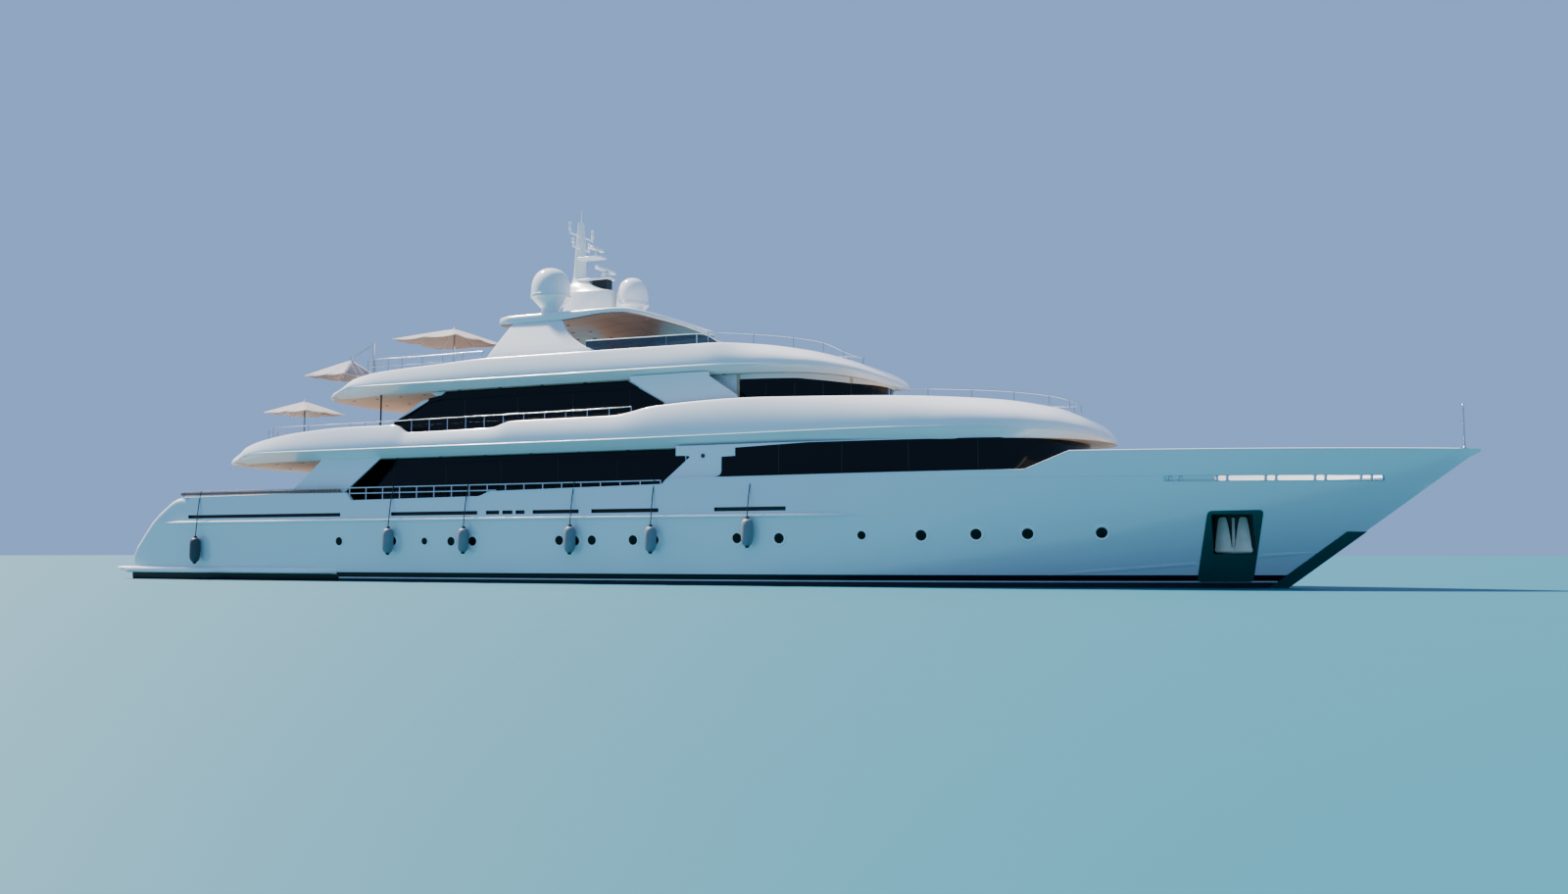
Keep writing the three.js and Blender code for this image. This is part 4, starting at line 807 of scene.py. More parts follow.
# Deck above the main deck: an aluminium shell, welded over frames and faired, its sides rolled
# out to a knuckle. The well is planked with teak, and the soffit lined with pale boards.
UPPER_STATIONS = [
    (-10.87, 0.3, 0.29, 0.25, 2.4, 2.42, 2.45), (-10.8, 0.8, 0.8, 0.76, 2.4, 2.42, 2.46),
    (-10.65, 1.35, 1.36, 1.32, 2.4, 2.42, 2.47), (-10.45, 1.8, 1.82, 1.78, 2.4, 2.422, 2.49),
    (-10.28, 2.01, 2.05, 2.0, 2.4, 2.425, 2.51), (-10.15, 2.06, 2.14, 2.08, 2.4, 2.432, 2.55),
    (-9.98, 2.06, 2.19, 2.11, 2.405, 2.465, 2.63), (-9.74, 2.06, 2.23, 2.15, 2.41, 2.555, 2.76),
    (-9.22, 2.06, 2.28, 2.175, 2.42, 2.6, 2.89), (-8.27, 2.06, 2.3, 2.19, 2.43, 2.6, 3.01),
    (-6.96, 2.06, 2.3, 2.19, 2.43, 2.6, 3.07), (-5.87, 2.06, 2.3, 2.19, 2.43, 2.6, 3.07),
    (-5.51, 2.06, 2.3, 2.2, 2.43, 2.6, 2.91), (-3.56, 2.06, 2.3, 2.2, 2.43, 2.6, 2.93),
    (-3.09, 2.06, 2.3, 2.19, 2.43, 2.6, 3.04), (-0.91, 2.06, 2.3, 2.19, 2.43, 2.6, 3.05),
    (0.03, 2.06, 2.3, 2.19, 2.43, 2.605, 3.19), (1.7, 2.06, 2.3, 2.18, 2.43, 2.615, 3.26),
    (3.04, 2.06, 2.3, 2.15, 2.43, 2.625, 3.23), (4.4, 2.05, 2.27, 2.05, 2.43, 2.63, 3.19),
    (5.3, 2.0, 2.18, 1.85, 2.43, 2.625, 3.15), (6.2, 1.83, 1.96, 1.5, 2.43, 2.605, 3.09),
    (6.9, 1.53, 1.62, 1.05, 2.43, 2.565, 2.99), (7.35, 1.15, 1.22, 0.7, 2.42, 2.51, 2.82),
    (7.62, 0.7, 0.75, 0.42, 2.415, 2.46, 2.62), (7.75, 0.25, 0.26, 0.2, 2.41, 2.43, 2.47),
]


def eased(table, x):
    """Row of a station table at x, each column by a smooth curve that never overshoots its stations"""
    k = max(1, next((i for i, row in enumerate(table) if row[0] >= x), len(table) - 1))
    a, b = table[k - 1], table[k]
    width = b[0] - a[0]
    t = clamp((x - a[0]) / width, 0, 1)
    row = [x]
    for c in range(1, len(a)):
        rates = [(q[c] - p[c]) / (q[0] - p[0]) for p, q in zip(table, table[1:])]
        pairs = list(zip(rates[:1] + rates, rates + rates[-1:]))[k - 1:k + 1]
        leave, reach = [2 * p * q / (p + q) if p * q > 0 else 0.0 for p, q in pairs]
        row.append(a[c] * (1 + 2 * t) * (1 - t) ** 2 + b[c] * t * t * (3 - 2 * t)
                   + width * (leave * t * (1 - t) ** 2 - reach * t * t * (1 - t)))
    return row


def fine_stations(table, step=0.14, least=5):
    xs = []
    for a, b in zip(table, table[1:]):
        xs += parted(a[0], b[0], max(least, math.ceil((b[0] - a[0]) / step)))[:-1]
    return xs + [table[-1][0]]


def bend(start, control, end, steps, first=0):
    """Points of a curve that leaves start towards control and reaches end"""
    return [tuple(a * (1 - t) ** 2 + 2 * c * t * (1 - t) + b * t * t for a, c, b in zip(start, control, end))
            for t in parted(0, 1, steps)[first:]]


def band_ring(row, upright, house):
    """Section of a deck shell: soffit, chamfer, knuckle, rolled top edge and a side that leans in"""
    x, soffit, knuckle, top, z0, z1, z2 = row
    x0, x1, wall, ceiling = house
    step = min(wall, soffit * 0.95 - 0.02)
    inside = [(step, ceiling if x0 < x < x1 else z0), (step + min(0.002, soffit * 0.01), z0)]
    foot, nose, crown = (soffit, z0), (knuckle, z1), (top, z2)
    full = 0.4 + 0.24 * clamp((x - upright[0]) / (upright[1] - upright[0]), 0, 1)
    swell = (knuckle - (knuckle - top) * 0.02, z1 + (z2 - z1) * full)
    above = lerp(nose, swell, 0.1)
    side = bend(above, swell, crown, 9)
    roll = lerp(side[-2], crown, 0.75)
    inner = (top - min(0.02, top * 0.3), z2)
    half = inside + [foot] + bend(lerp(foot, nose, 0.9), nose, above, 4)
    half += side[1:-1] + bend(roll, crown, inner, 3)
    return mirrored([(x, y, z) for y, z in half])


def deck_shell(name, node, stations, upright, house, well):
    """Lofted shell with its well cut down to the floor, and the ceiling a step lower over the house"""
    rings = [band_ring(eased(stations, x), upright, house) for x in fine_stations(stations)]
    x0, x1, level, wall = well
    room = []
    for x in [x0] + [x for x in fine_stations(stations) if x0 < x < x1] + [x1]:
        half = eased(stations, x)[3] - wall
        room.append([(x, half, level), (x, -half, level), (x, -half, level + 1.5), (x, half, level + 1.5)])

    def surface(centre, normal):
        if normal.z > 0.98 and abs(centre.z - level) < 0.002:
            return 1
        return 2 if normal.z < -0.98 else 0

    build(name, loft(rings), [house_paint, teak_deck, soffit_boards], [node], crease=32,
          which=surface, cutters=[loft(room)])


# Soffit boards: oiled maple veneer on panels, in strips of 60 mm with fine open joints.
soffit_boards = planked("maple_soffit_boards", 0.06, 3.0, ("efe5da", "e6dacb"), "a89c8c", 0.5)
# Spot lamps are sunk into the soffits, dark glass in a thin ring.
lamp_glass = finish("lamp_lens_smoked", "2a2826", "3a3632", 0.05, (0.1, 0.2), (0.02, 0.0002))
LENS = [(1.0, -0.3), (1.25, -0.3), (1.25, 0.1), (1.05, 0.2), (0.95, 0.12), (0.5, 0.2), (0.0001, 0.22)]


def spots(name, rows, height):
    """Lamps of 60 mm that face down, in rows of x and y, at the height that a function gives for x"""
    places = [((x, y, height(x)), (0, 0, -1), 0.03) for xs, ys in rows for x in xs for y in ys]
    fittings(name, places, turned(LENS, 12), lamp_glass)


BEAD = [(-0.014, -0.012), (0.0, -0.008), (0.01, 0.0), (0.009, 0.008), (-0.002, 0.022), (-0.014, 0.026)]


def knuckle_line(name, stations, x0, x1):
    """Slim half-round bead welded along the knuckle of a deck shell"""
    for hand, side in SIDES:
        rings = []
        for x in spaced(x0, x1, 0.12):
            _, _, out, _, _, z, _ = eased(stations, x)
            fade = clamp(min(x - x0, x1 - x) / 0.5, 0.15, 1)
            rings.append([(x, side * (out + a * fade), z + b * fade) for a, b in BEAD])
        build(f"{name}_{hand}", loft(rings), [trim_paint], crease=60)


deck_shell("upper_deck_shell", "upper_deck", UPPER_STATIONS, (-7.5, -3.5), (-7.75, 1.2, 1.795, 2.38),
           (-10.4, 5.0, 2.55, 0.075))
knuckle_line("upper_knuckle_bead", UPPER_STATIONS, -9.7, 6.6)
spots("upper_deck_spots", [((-10.1, -9.4, -8.7, -8.0), (-1.65, -0.55, 0.55, 1.65)),
                           (spaced(-7.0, 4.6, 1.05), (-1.97, 1.97))], lambda x: eased(UPPER_STATIONS, x)[4])

# Main deck house: painted aluminium walls with large bonded panes. The long walls are the CAD's
# own; their finish is the house gloss, and the panes are black outside.
dress("main_house_aft", house_paint)
AFT_HEAD = [(-6.98, 2.325), (-6.85, 2.435), (0.44, 2.435), (0.44, 2.325)]


def glass_head(name, outline, y):
    """Over the panes a strip of the same glass, black behind, laps the wall up to the soffit"""
    for hand, side in SIDES:
        build(f"{name}_{hand}", slab(outline, side * y, side * (y + 0.011)), [dark_glass])


for name, side in SIDES:
    dress(f"main_window_aft_{name}", dark_glass)
glass_head("aft_glass_head", AFT_HEAD, 1.8)


def nose(start, end, half, steps=40):
    """Rounded front in plan: half-breadth falls to nothing at the end"""
    shares = [math.sin(math.pi / 2 * t) for t in parted(0, 1, steps - 1)]
    return [(start + (end - start) * t, half * math.sqrt(max(0, 1 - t ** 2.2))) for t in shares]


def both_sides(half):
    """Plan line from the aft port end round to the aft starboard end"""
    line = half + [(x, -y) for x, y in reversed(half)]
    return [p for i, p in enumerate(line) if i == 0 or math.dist(p, line[i - 1]) > 1e-4]


def offset(line, distance):
    """The plan line moved inward, to its left hand side, corners mitred"""
    moved = []
    for i, here in enumerate(line):
        before, after = line[max(i - 1, 0)], line[min(i + 1, len(line) - 1)]
        normals = []
        for p, q in ((before, here), (here, after)):
            length = math.dist(p, q)
            if length > 1e-6:
                normals.append(((q[1] - p[1]) / length, -(q[0] - p[0]) / length))
        nx, ny = sum(n[0] for n in normals), sum(n[1] for n in normals)
        scale = len(normals) * distance / (nx * nx + ny * ny)
        moved.append((here[0] + nx * scale, here[1] + ny * scale))
    return moved


def wall(line, near, far, z0, z1):
    """Upright wall that follows the plan line, between two distances inside it"""
    pairs = zip(offset(line, near), offset(line, far))
    return loft([[(*a, z0), (*a, z1), (*b, z1), (*b, z0)] for a, b in pairs])


def house_side(x):
    return x, hull_half(x, CURB_DECK) - BULWARK - 0.008


fore_line = both_sides([house_side(0.45 + i * 0.3) for i in range(16)] + nose(5.5, 7.3, house_side(5.5)[1]))
FORE_BAND = [(1.2, 1.888), (9.0, 1.888), (9.0, 2.438), (3.0, 2.438), (1.2, 2.372)]
build("fore_house_walls", wall(fore_line, 0, 0.06, CURB_DECK, 2.45), [house_paint],
      ["main_house_fore"], cutters=[
          slab(FORE_BAND, -3.0, 3.0), block(0.4, 0.78, -3.0, 3.0, 1.84, 2.275),
          block(5.5, 9.0, -3.0, 3.0, 1.0, FORE_DECK),
      ])
# The pillar between the two runs of glass: a raked aft edge under a beam, and a curved toe forward.
PILLAR = [
    (0.2, 1.5), (0.2, 1.826), (0.239, 1.857), (0.73, 2.247), (0.7, 2.268), (0.527, 2.275), (0.52, 2.44),
    (1.62, 2.44), (1.62, 2.243), (1.354, 2.236), (1.354, 1.99), (1.342, 1.945), (1.308, 1.91), (1.22, 1.888),
    (1.22, 1.5),
]
for name, side in SIDES:
    build(f"fore_house_cheek_{name}", slab(PILLAR, *across(side, 2.145, 2.204)), [house_paint], crease=40,
          rounding=(0.006,))
    lamp = [hoop(0.996, side * y, 2.262, r, 16) for r, y in ((0.035, 2.2), (0.038, 2.216), (0.03, 2.226))]
    build(f"pillar_lamp_{name}", loft(lamp), [lamp_glass], crease=40)
pane_line = [p for p in fore_line if p[0] > 1.0]
build("fore_house_panes", wall(pane_line, 0.015, 0.035, 1.88, 2.442), [dark_glass],
      ["main_window_fore"], cutters=[block(0.0, 1.1, -3.0, 3.0, 1.0, 3.0)])

# Joints between panes: silicone bead, matt black, tooled flush with the glass. The curved fronts
# and the flat sides have the same.
sealant = finish("silicone_sealant_black", "0d0f10", "161819", 0.1, (0.45, 0.6), (0.02, 0.0003))


def pane_joints(name, line, near, xs, z0, z1):
    """Upright beads on a curved wall of glass, at distances along X, on both sides"""
    beads = []
    outside = offset(line, near)
    middle = len(outside) // 2
    pairs = [pair for half in (outside[:middle], outside[middle:]) for pair in zip(half, half[1:])]
    for x in xs:
        for p, q in pairs:
            if min(p[0], q[0]) <= x < max(p[0], q[0]):
                centre = Vector((x, p[1] + (q[1] - p[1]) * ((x - p[0]) / (q[0] - p[0]))))
                along = (Vector(q) - Vector(p)).normalized() * 0.006
                out = Vector((along.y, -along.x)).normalized() * 0.003
                if out.y * centre.y < 0:
                    out = -out
                corners = [centre - along - out, centre + along - out, centre + along + out,
                           centre - along + out]
                beads.append(loft([[(c.x, c.y, z) for c in corners] for z in (z0, z1)]))
    build(name, join(*beads), [sealant])


def flat_joints(name, xs, y, z0, z1):
    """Upright beads on flat glass at y, on both sides"""
    beads = [block(x - 0.006, x + 0.006, *across(side, y, y + 0.005), z0, z1)
             for x in xs for _, side in SIDES]
    build(name, join(*beads), [sealant])


pane_joints("fore_house_joints", fore_line, 0.015, [2.45, 3.6, 4.75, 5.9], 1.9, 2.415)
flat_joints("aft_house_joints", (-6.2, -4.9, -3.6, -2.3, -1.0), 1.783, 1.49, 2.325)

# Sliding doors: toughened glass leaves in slim bright frames of polished tube, which run on a
# sill track.

# Smoked float glass: nearly black from outside, with sharp reflections.
door_glass = finish("float_glass_smoked", "0f1617", "182021", 0.6, (0.03, 0.08), (1.0, 0.001),
                    **{"Specular IOR Level": 0.6})
near, far = 0.003, 0.715
for room, x, deck in (("saloon", -7.54, 1.25), ("lounge", -5.09, 2.55)):
    low, high = deck + 0.0006, deck + 1.025
    for name, side in SIDES:
        dress(f"{room}_door_{name}", door_glass)
        bars = [block(x + 0.0055, x + 0.039, *across(side, a, b), z0, z1) for a, b, z0, z1 in (
            (near, near + 0.03, low, high), (far - 0.03, far, low, high), (near, far, low, low + 0.045),
            (near, far, high - 0.03, high))]
        build(f"{room}_door_frame_{name}", join(*bars), [steel], ride=f"{room}_door_{name}")

# Upper house: the long walls and their panes are the CAD's own, in the same gloss and glass, with
# the same lap of glass over the panes.
dress("upper_house", house_paint)
UPPER_HEAD = [
    (-6.3, 3.12), (-6.24, 3.2), (-5.83, 3.375), (-5.43, 3.565), (-5.41, 3.625), (-5.1, 3.67), (-5.0, 3.735),
    (-0.86, 3.745), (-0.6, 3.6), (-0.62, 3.585), (-5.1, 3.585), (-5.6, 3.485), (-6.22, 3.12),
]
for name, side in SIDES:
    dress(f"upper_window_{name}", dark_glass)
glass_head("upper_glass_head", UPPER_HEAD, 1.7)
flat_joints("upper_house_joints", (-4.55, -3.3, -2.05, -0.8), 1.683, 2.81, 3.57)

# Wheelhouse: a curved wall of painted aluminium with one band of dark glass, set back in a reveal
# of beige lacquer.
wheel_line = both_sides(nose(1.4, 3.7, 1.7, 48))
# Satin lacquer, in patches a little darker.
reveal_lacquer = finish("lacquer_satin_beige", "cfc6b4", "bdb29c", 0.5, (0.35, 0.45), (0.2, 0.0005))
WHEEL_BAND = [(1.45, 3.15), (6.0, 3.15), (6.0, 3.56), (3.3, 3.565), (2.5, 3.64), (1.45, 3.65)]
build("wheelhouse_walls", wall(wheel_line, 0, 0.06, 2.6, 3.755), [house_paint, reveal_lacquer],
      ["wheelhouse"], which=lambda centre, normal: int(3.149 < centre.z < 3.651 and centre.x > 1.449),
      cutters=[slab(WHEEL_BAND, -3.0, 3.0)])
build("wheelhouse_panes", wall(wheel_line, 0.03, 0.048, 3.145, 3.655), [dark_glass],
      ["wheelhouse_window"], cutters=[block(0.0, 1.4505, -3.0, 3.0, 1.0, 5.0)])
pane_joints("wheelhouse_joints", wheel_line, 0.03, [1.95, 2.45, 2.9, 3.3, 3.56], 3.155, 3.56)

# Deck over the upper house: the same kind of faired aluminium shell, with the sun deck's teak laid
# in its well.
SUN_STATIONS = [
    (-8.12, 0.3, 0.29, 0.25, 3.665, 3.68, 3.715), (-8.06, 0.85, 0.85, 0.8, 3.665, 3.685, 3.745),
    (-7.95, 1.4, 1.42, 1.36, 3.67, 3.695, 3.775), (-7.82, 1.75, 1.79, 1.72, 3.67, 3.7, 3.79),
    (-7.69, 1.88, 1.96, 1.88, 3.675, 3.71, 3.82), (-7.56, 1.9, 2.02, 1.93, 3.68, 3.75, 3.849),
    (-7.42, 1.9, 2.06, 1.95, 3.685, 3.8, 3.9), (-7.1, 1.9, 2.09, 1.98, 3.69, 3.88, 4.06),
    (-6.45, 1.9, 2.1, 2.0, 3.71, 3.88, 4.17), (-5.11, 1.9, 2.1, 2.0, 3.735, 3.88, 4.24),
    (-3.68, 1.9, 2.1, 2.0, 3.74, 3.88, 4.3), (1.0, 1.9, 2.09, 1.98, 3.74, 3.88, 4.3),
    (1.8, 1.85, 2.0, 1.75, 3.735, 3.87, 4.26), (2.65, 1.68, 1.78, 1.35, 3.72, 3.85, 4.15),
    (3.3, 1.3, 1.37, 0.9, 3.67, 3.79, 3.98), (3.7, 0.85, 0.9, 0.55, 3.6, 3.7, 3.8),
    (3.93, 0.4, 0.43, 0.3, 3.54, 3.6, 3.65), (4.0, 0.15, 0.16, 0.12, 3.53, 3.55, 3.57),
]
deck_shell("sun_deck_shell", "sun_deck", SUN_STATIONS, (0.0, 2.2), (-5.3, 1.5, 1.695, 3.66),
           (-7.6, 0.7, 3.85, 0.075))
knuckle_line("sun_knuckle_bead", SUN_STATIONS, -7.2, 2.9)
spots("sun_deck_spots", [((-7.5, -6.9, -6.3, -5.7), (-1.5, -0.5, 0.5, 1.5)),
                         (spaced(-4.6, 1.2, 0.9), (-1.81, 1.81))], lambda x: eased(SUN_STATIONS, x)[4])

# Stanchions of dark bronze-coloured tube, with a round flange at each end, carry the aft overhang
# of that deck.

# Bronze anodising on drawn tube: satin brown-black, with a glint of metal along each post.
dark_metal = finish("anodised_tube_dark", "3a342f", "2a2623", 0.2, (0.3, 0.45), (0.03, 0.0003),
                    **{"Metallic": 0.8})
POST = [(0.028, 2.55), (0.028, 2.565), (0.017, 2.575), (0.016, 3.69), (0.024, 3.7), (0.024, 3.713)]
for name, side in SIDES:
    build(f"overhang_post_{name}", turned(POST, 16, -6.45, side * 1.9), [dark_metal])

# Hardtop: a moulded composite roof with rounded rims, bolted down on the raked legs, its underside
# lined in dark taupe panels.
HARDTOP_STATIONS = [
    (-4.02, 0.9, 5.03, 5.08), (-3.92, 1.45, 5.01, 5.12), (-3.72, 1.68, 4.99, 5.14), (-3.5, 1.75, 4.96, 5.15),
    (-2.4, 1.76, 4.96, 5.15), (-1.3, 1.75, 5.04, 5.15), (-1.0, 1.69, 5.04, 5.14), (-0.8, 1.56, 5.01, 5.115),
    (-0.55, 1.22, 4.95, 5.06), (-0.32, 0.78, 4.89, 4.99), (-0.18, 0.45, 4.84, 4.93), (-0.1, 0.12, 4.79, 4.87),
]


def roof_ring(row):
    x, half, z0, z1 = row
    middle = z0 + (z1 - z0) * 0.55
    rim = min(0.09, half * 0.5)
    lower = bend((half - rim * 0.75, z0), (half, z0), (half, middle), 5)
    upper = bend((half, middle), (half, z1), (half - rim, z1), 6, 1)
    return mirrored([(x, y, z) for y, z in [(half - rim, z0)] + lower + upper])


# Lining panels: satin lacquer in a taupe that looks pinkish in the shade, joints every 0.6 m.
lining = planked("lacquer_lining_taupe", 0.6, 1.2, ("8b8286", "837a7e"), "6c6468", 0.3)
roof_rings = [roof_ring(eased(HARDTOP_STATIONS, x)) for x in fine_stations(HARDTOP_STATIONS, 0.1)]
build("hardtop_roof", loft(roof_rings), [house_paint, lining], ["hardtop"], crease=32,
      which=lambda centre, normal: int(normal.z < -0.8))
spots("hardtop_spots", [((-3.3, -2.9, -2.5), (-1.2, -0.4, 0.4, 1.2))],
      lambda x: row_at(HARDTOP_STATIONS, x)[2] - 0.002)

# Raked legs: plated arches of painted aluminium with rounded edges, welded to the deck and bolted
# up to the roof.
LEG_ROWS = [
    (4.18, -3.98, -1.22, 1.94, 1.995), (4.33, -3.83, -1.45, 1.92, 1.978), (4.45, -3.75, -1.72, 1.89, 1.945),
    (4.7, -3.6, -2.07, 1.79, 1.845), (5.03, -3.4, -2.33, 1.645, 1.705),
]
for name, side in SIDES:
    rings = []
    for z in fine_stations(LEG_ROWS, 0.06, 4):
        _, aft, fore, inner_y, outer_y = eased(LEG_ROWS, z)
        middle = (inner_y + outer_y) / 2
        edge = (outer_y - inner_y) / 2
        rings.append([(x, side * (middle + edge * out), z) for x, out in (
            (aft, -0.3), (aft, 0.3), (aft + 0.012, 0.8), (aft + 0.04, 1), (fore - 0.04, 1),
            (fore - 0.012, 0.8), (fore, 0.3), (fore, -0.3), (fore - 0.012, -0.8), (fore - 0.04, -1),
            (aft + 0.04, -1), (aft + 0.012, -0.8),
        )])
    build(f"raked_leg_{name}", loft(rings), [house_paint], [f"arch_leg_{name}"], crease=50)

# Low screen: curved toughened glass in a slim white cap rail, with mullions round the front, let
# into the edge of the sun deck.

# Tinted toughened glass: what lies behind is dimmed to blue-grey, under faint smears.
screen_glass, tree, place = new_material("toughened_glass_blue_tint")
smear = add(tree, "ShaderNodeTexNoise", {"Vector": place, "Scale": 2.5, "Detail": 4.0})
gloss = add(tree, "ShaderNodeMapRange", {"Value": smear, "To Min": 0.02, "To Max": 0.12})
tint = add(tree, "ShaderNodeMix", {0: smear, 6: linear("24394a"), 7: linear("1a2c3a")}, data_type="RGBA")
surface = add(tree, "ShaderNodeBsdfPrincipled", {
    "Base Color": tint.outputs[2], "Roughness": gloss, "IOR": 1.52, "Alpha": 0.72, "Coat Weight": 0.4,
})
add(tree, "ShaderNodeOutputMaterial", {"Surface": surface})
dress("windscreen", screen_glass)

# Tube work is bent from stainless tube and welded; one tree runs a round section along each path.
tube_tree, given = node_group("tube_along_path", ("Geometry", "Geometry"), ("Radius", "Float"),
                              ("Sides", "Int"), ("Steps", "Int"), ("Finish", "Material"))
paths = add(tube_tree, "GeometryNodeMeshToCurve", {0: given["Geometry"]})
typed = add(tube_tree, "GeometryNodeCurveSplineType", {0: paths}, spline_type="CATMULL_ROM")
stepped = add(tube_tree, "GeometryNodeSetSplineResolution", {0: typed, "Resolution": given["Steps"]})
section = add(tube_tree, "GeometryNodeCurvePrimitiveCircle",
              {"Resolution": given["Sides"], "Radius": given["Radius"]})
run = add(tube_tree, "GeometryNodeCurveToMesh",
          {"Curve": stepped, "Profile Curve": section, "Fill Caps": True})
end_group(tube_tree, run, given["Finish"])


def tubes(name, lines, radius, material, sides=12, steps=4, nodes=()):
    """Round tube along each line of points"""
    points, edges = [], []
    for line in lines:
        edges += [(len(points) + i, len(points) + i + 1) for i in range(len(line) - 1)]
        points += line
    mesh = bpy.data.meshes.new(name)
    mesh.from_pydata(points, edges, [])
    sizes = {"Radius": radius, "Sides": sides, "Steps": steps, "Finish": material}
    piece = geometry_nodes(linked(name, mesh), tube_tree, sizes)
    smooth_by_angle(cleaned(piece.data, 1e-6), 50)
    fit(piece, nodes)


screen_half = [(-1.6, 1.965), (-0.45, 1.958), (0.7, 1.95), (0.88, 1.85), (1.0, 1.7), (1.1, 1.48), (1.18, 1.2),
               (1.24, 0.9), (1.28, 0.6), (1.31, 0.0)]
SCREEN_TOP = [(-1.7, 4.498), (0.85, 4.475), (1.05, 4.34), (1.4, 4.335)]
cap_rail = [(x, y, row_at(SCREEN_TOP, x)[1]) for x, y in both_sides(screen_half)]
mullions = [[(x, side * y, 4.22), (x, side * y, row_at(SCREEN_TOP, x)[1])]
            for x, y in ((0.1, 1.945), (0.72, 1.94), (1.0, 1.69), (1.18, 1.2), (1.28, 0.6))
            for _, side in SIDES]
tubes("screen_cap_rail", [cap_rail] + mullions, 0.009, trim_paint)

# Mast: a plated trunk that tapers up from the roof, with shelves for the scanners, cross arms
# with lamps and horns, and a whip aerial.
MAST_ROWS = [
    (5.1, -3.3, -2.13, 0.31), (5.46, -3.23, -2.14, 0.3), (5.81, -3.16, -2.15, 0.27),
    (5.86, -3.15, -2.35, 0.25), (5.935, -3.145, -2.56, 0.215), (6.09, -3.13, -2.8, 0.12),
    (6.18, -3.12, -2.88, 0.1), (6.9, -3.08, -2.905, 0.07), (7.3, -3.045, -2.94, 0.045),
]
rings = []
for z in fine_stations(MAST_ROWS, 0.06, 4):
    _, aft, fore, half = eased(MAST_ROWS, z)
    cut = min(0.03, half * 0.4)
    rings.append(mirrored([(x, y, z) for x, y in (
        (aft, half - cut), (aft + cut * 0.3, half - cut * 0.3), (aft + cut, half),
        (fore - cut * 3, half * 0.78), (fore - cut * 0.8, half * 0.62), (fore, half * 0.4))]))
build("mast_trunk", loft(rings), [house_paint], ["mast"], crease=50)
# The block that carries the lower shelf is near black: painted shade for the hollow under the shelf.
build("scanner_pedestal", block(-2.66, -2.31, -0.1, 0.1, 5.84, 6.065), [recess_painted_shade])
SCANNER = [(-1, -0.55), (-0.8, -1), (0.7, -1), (1, -0.7), (1, 0.3), (0.75, 0.85), (0.3, 1), (-0.55, 1),
           (-0.9, 0.7), (-1, 0.2)]
for name, x, z, length, foot in (("lower", -2.4, 6.11, 0.78, 0.11), ("upper", -2.61, 6.56, 0.46, 0.06)):
    build(f"scanner_shelf_{name}", block(-3.0, x + 0.15, -0.13, 0.13, z - 0.05, z - 0.001), [house_paint],
          crease=40, rounding=(0.016, 4))
    gearbox = [(0.9, -0.02), (1, 0), (1, 0.03), (0.92, 0.045), (0.9, 0.08), (0.7, 0.105), (0.45, 0.114),
               (0.45, 0.12)]
    build(f"scanner_gearbox_{name}", turned([(foot * r, z + up) for r, up in gearbox], 28, x), [house_paint])
    rings = []
    for y in spaced(-length / 2, length / 2, length / 24):
        shut = math.sqrt(max(0.05, 1 - (abs(y) / (length / 2)) ** 10))
        rings.append([(x + 0.05 * shut * u, y, z + 0.1606 + 0.04 * shut * v) for u, v in SCANNER])
    build(f"scanner_bar_{name}", loft(rings), [house_paint], [f"radar_scanner_{name}"],
          crease=45, ride=f"radar_{name}")
tubes("mast_cross_arms", [[(-2.99, -half, z), (-2.99, half, z)] for half, z in ((0.42, 7.01), (0.3, 6.76))],
      0.02, house_paint)
LAMP_FOOT = [(0.012, -0.03), (0.018, 0.02), (0.018, 0.05), (0.032, 0.06), (0.034, 0.08), (0.024, 0.09)]
LAMP_HEAD = [(0.024, -0.04), (0.034, -0.03), (0.03, -0.01), (0.0001, 0.0)]
lamps = []
for y, z, tall in ((-0.42, 7.01, 0.23), (0.42, 7.01, 0.23), (-0.3, 6.76, 0.18), (0.3, 6.76, 0.18)):
    rows = [(r, z + up) for r, up in LAMP_FOOT] + [(r, z + tall + up) for r, up in LAMP_HEAD]
    lamps.append(turned(rows, 14, -2.99, y))
build("mast_lamps", join(*lamps), [trim_paint])
tubes("mast_whip", [[(-2.99, 0, 7.22), (-2.99, 0, 7.56)]], 0.009, trim_paint)

# Radomes: moulded glass fibre shells, gelcoated, on flared feet with a double bolted flange that
# joins the halves.

# Gelcoat out of a polished mould: an even, glossy white with hardly a ripple.
gelcoat = finish("gelcoat_radome_white", "f4f6f6", "e8edef", 0.8, (0.12, 0.2), (0.3, 0.0005),
                 **{"Coat Weight": 0.6, "Coat Roughness": 0.05})
FLANGE = 5.5
LIPS = [(0.985, -0.03), (1, -0.022), (1, -0.006), (0.975, -0.002), (0.975, 0.003), (1, 0.007), (1, 0.022),
        (0.98, 0.03)]
for name, x, y, radius, top in (("starboard", -2.75, -1.43, 0.39, 6.06), ("port", -2.75, 1.43, 0.39, 6.06),
                                ("fore", -1.77, 0.0, 0.327, 6.05)):
    foot, spring = radius * 0.48, FLANGE + 0.08
    rows = [(foot * 1.12, 5.13), (foot * 1.12, 5.165), (foot, 5.175), (foot, 5.27)]
    rows += bend((foot, 5.27), (foot * 1.3, 5.33), (radius * 0.95, FLANGE - 0.035), 7, 1)
    rows += [(radius * r, FLANGE + up) for r, up in LIPS]
    for a in (math.radians(d) for d in range(0, 90, 6)):
        rows.append((radius * 0.975 * math.cos(a) ** 0.82, spring + (top - spring) * math.sin(a) ** 0.85))
    build(f"dome_{name}_shell", turned(rows + [(0.0001, top)], 56, x, y), [gelcoat],
          [f"dome_{name}"], crease=38)

# Rails: polished tube with welded stanchions, in round flanges on what carries them. The line
# aft on the main deck stands on blocks of varnished teak.
MAIN_RAIL = {"aft": -11.45, "fore": 0.18, "z": 1.845}
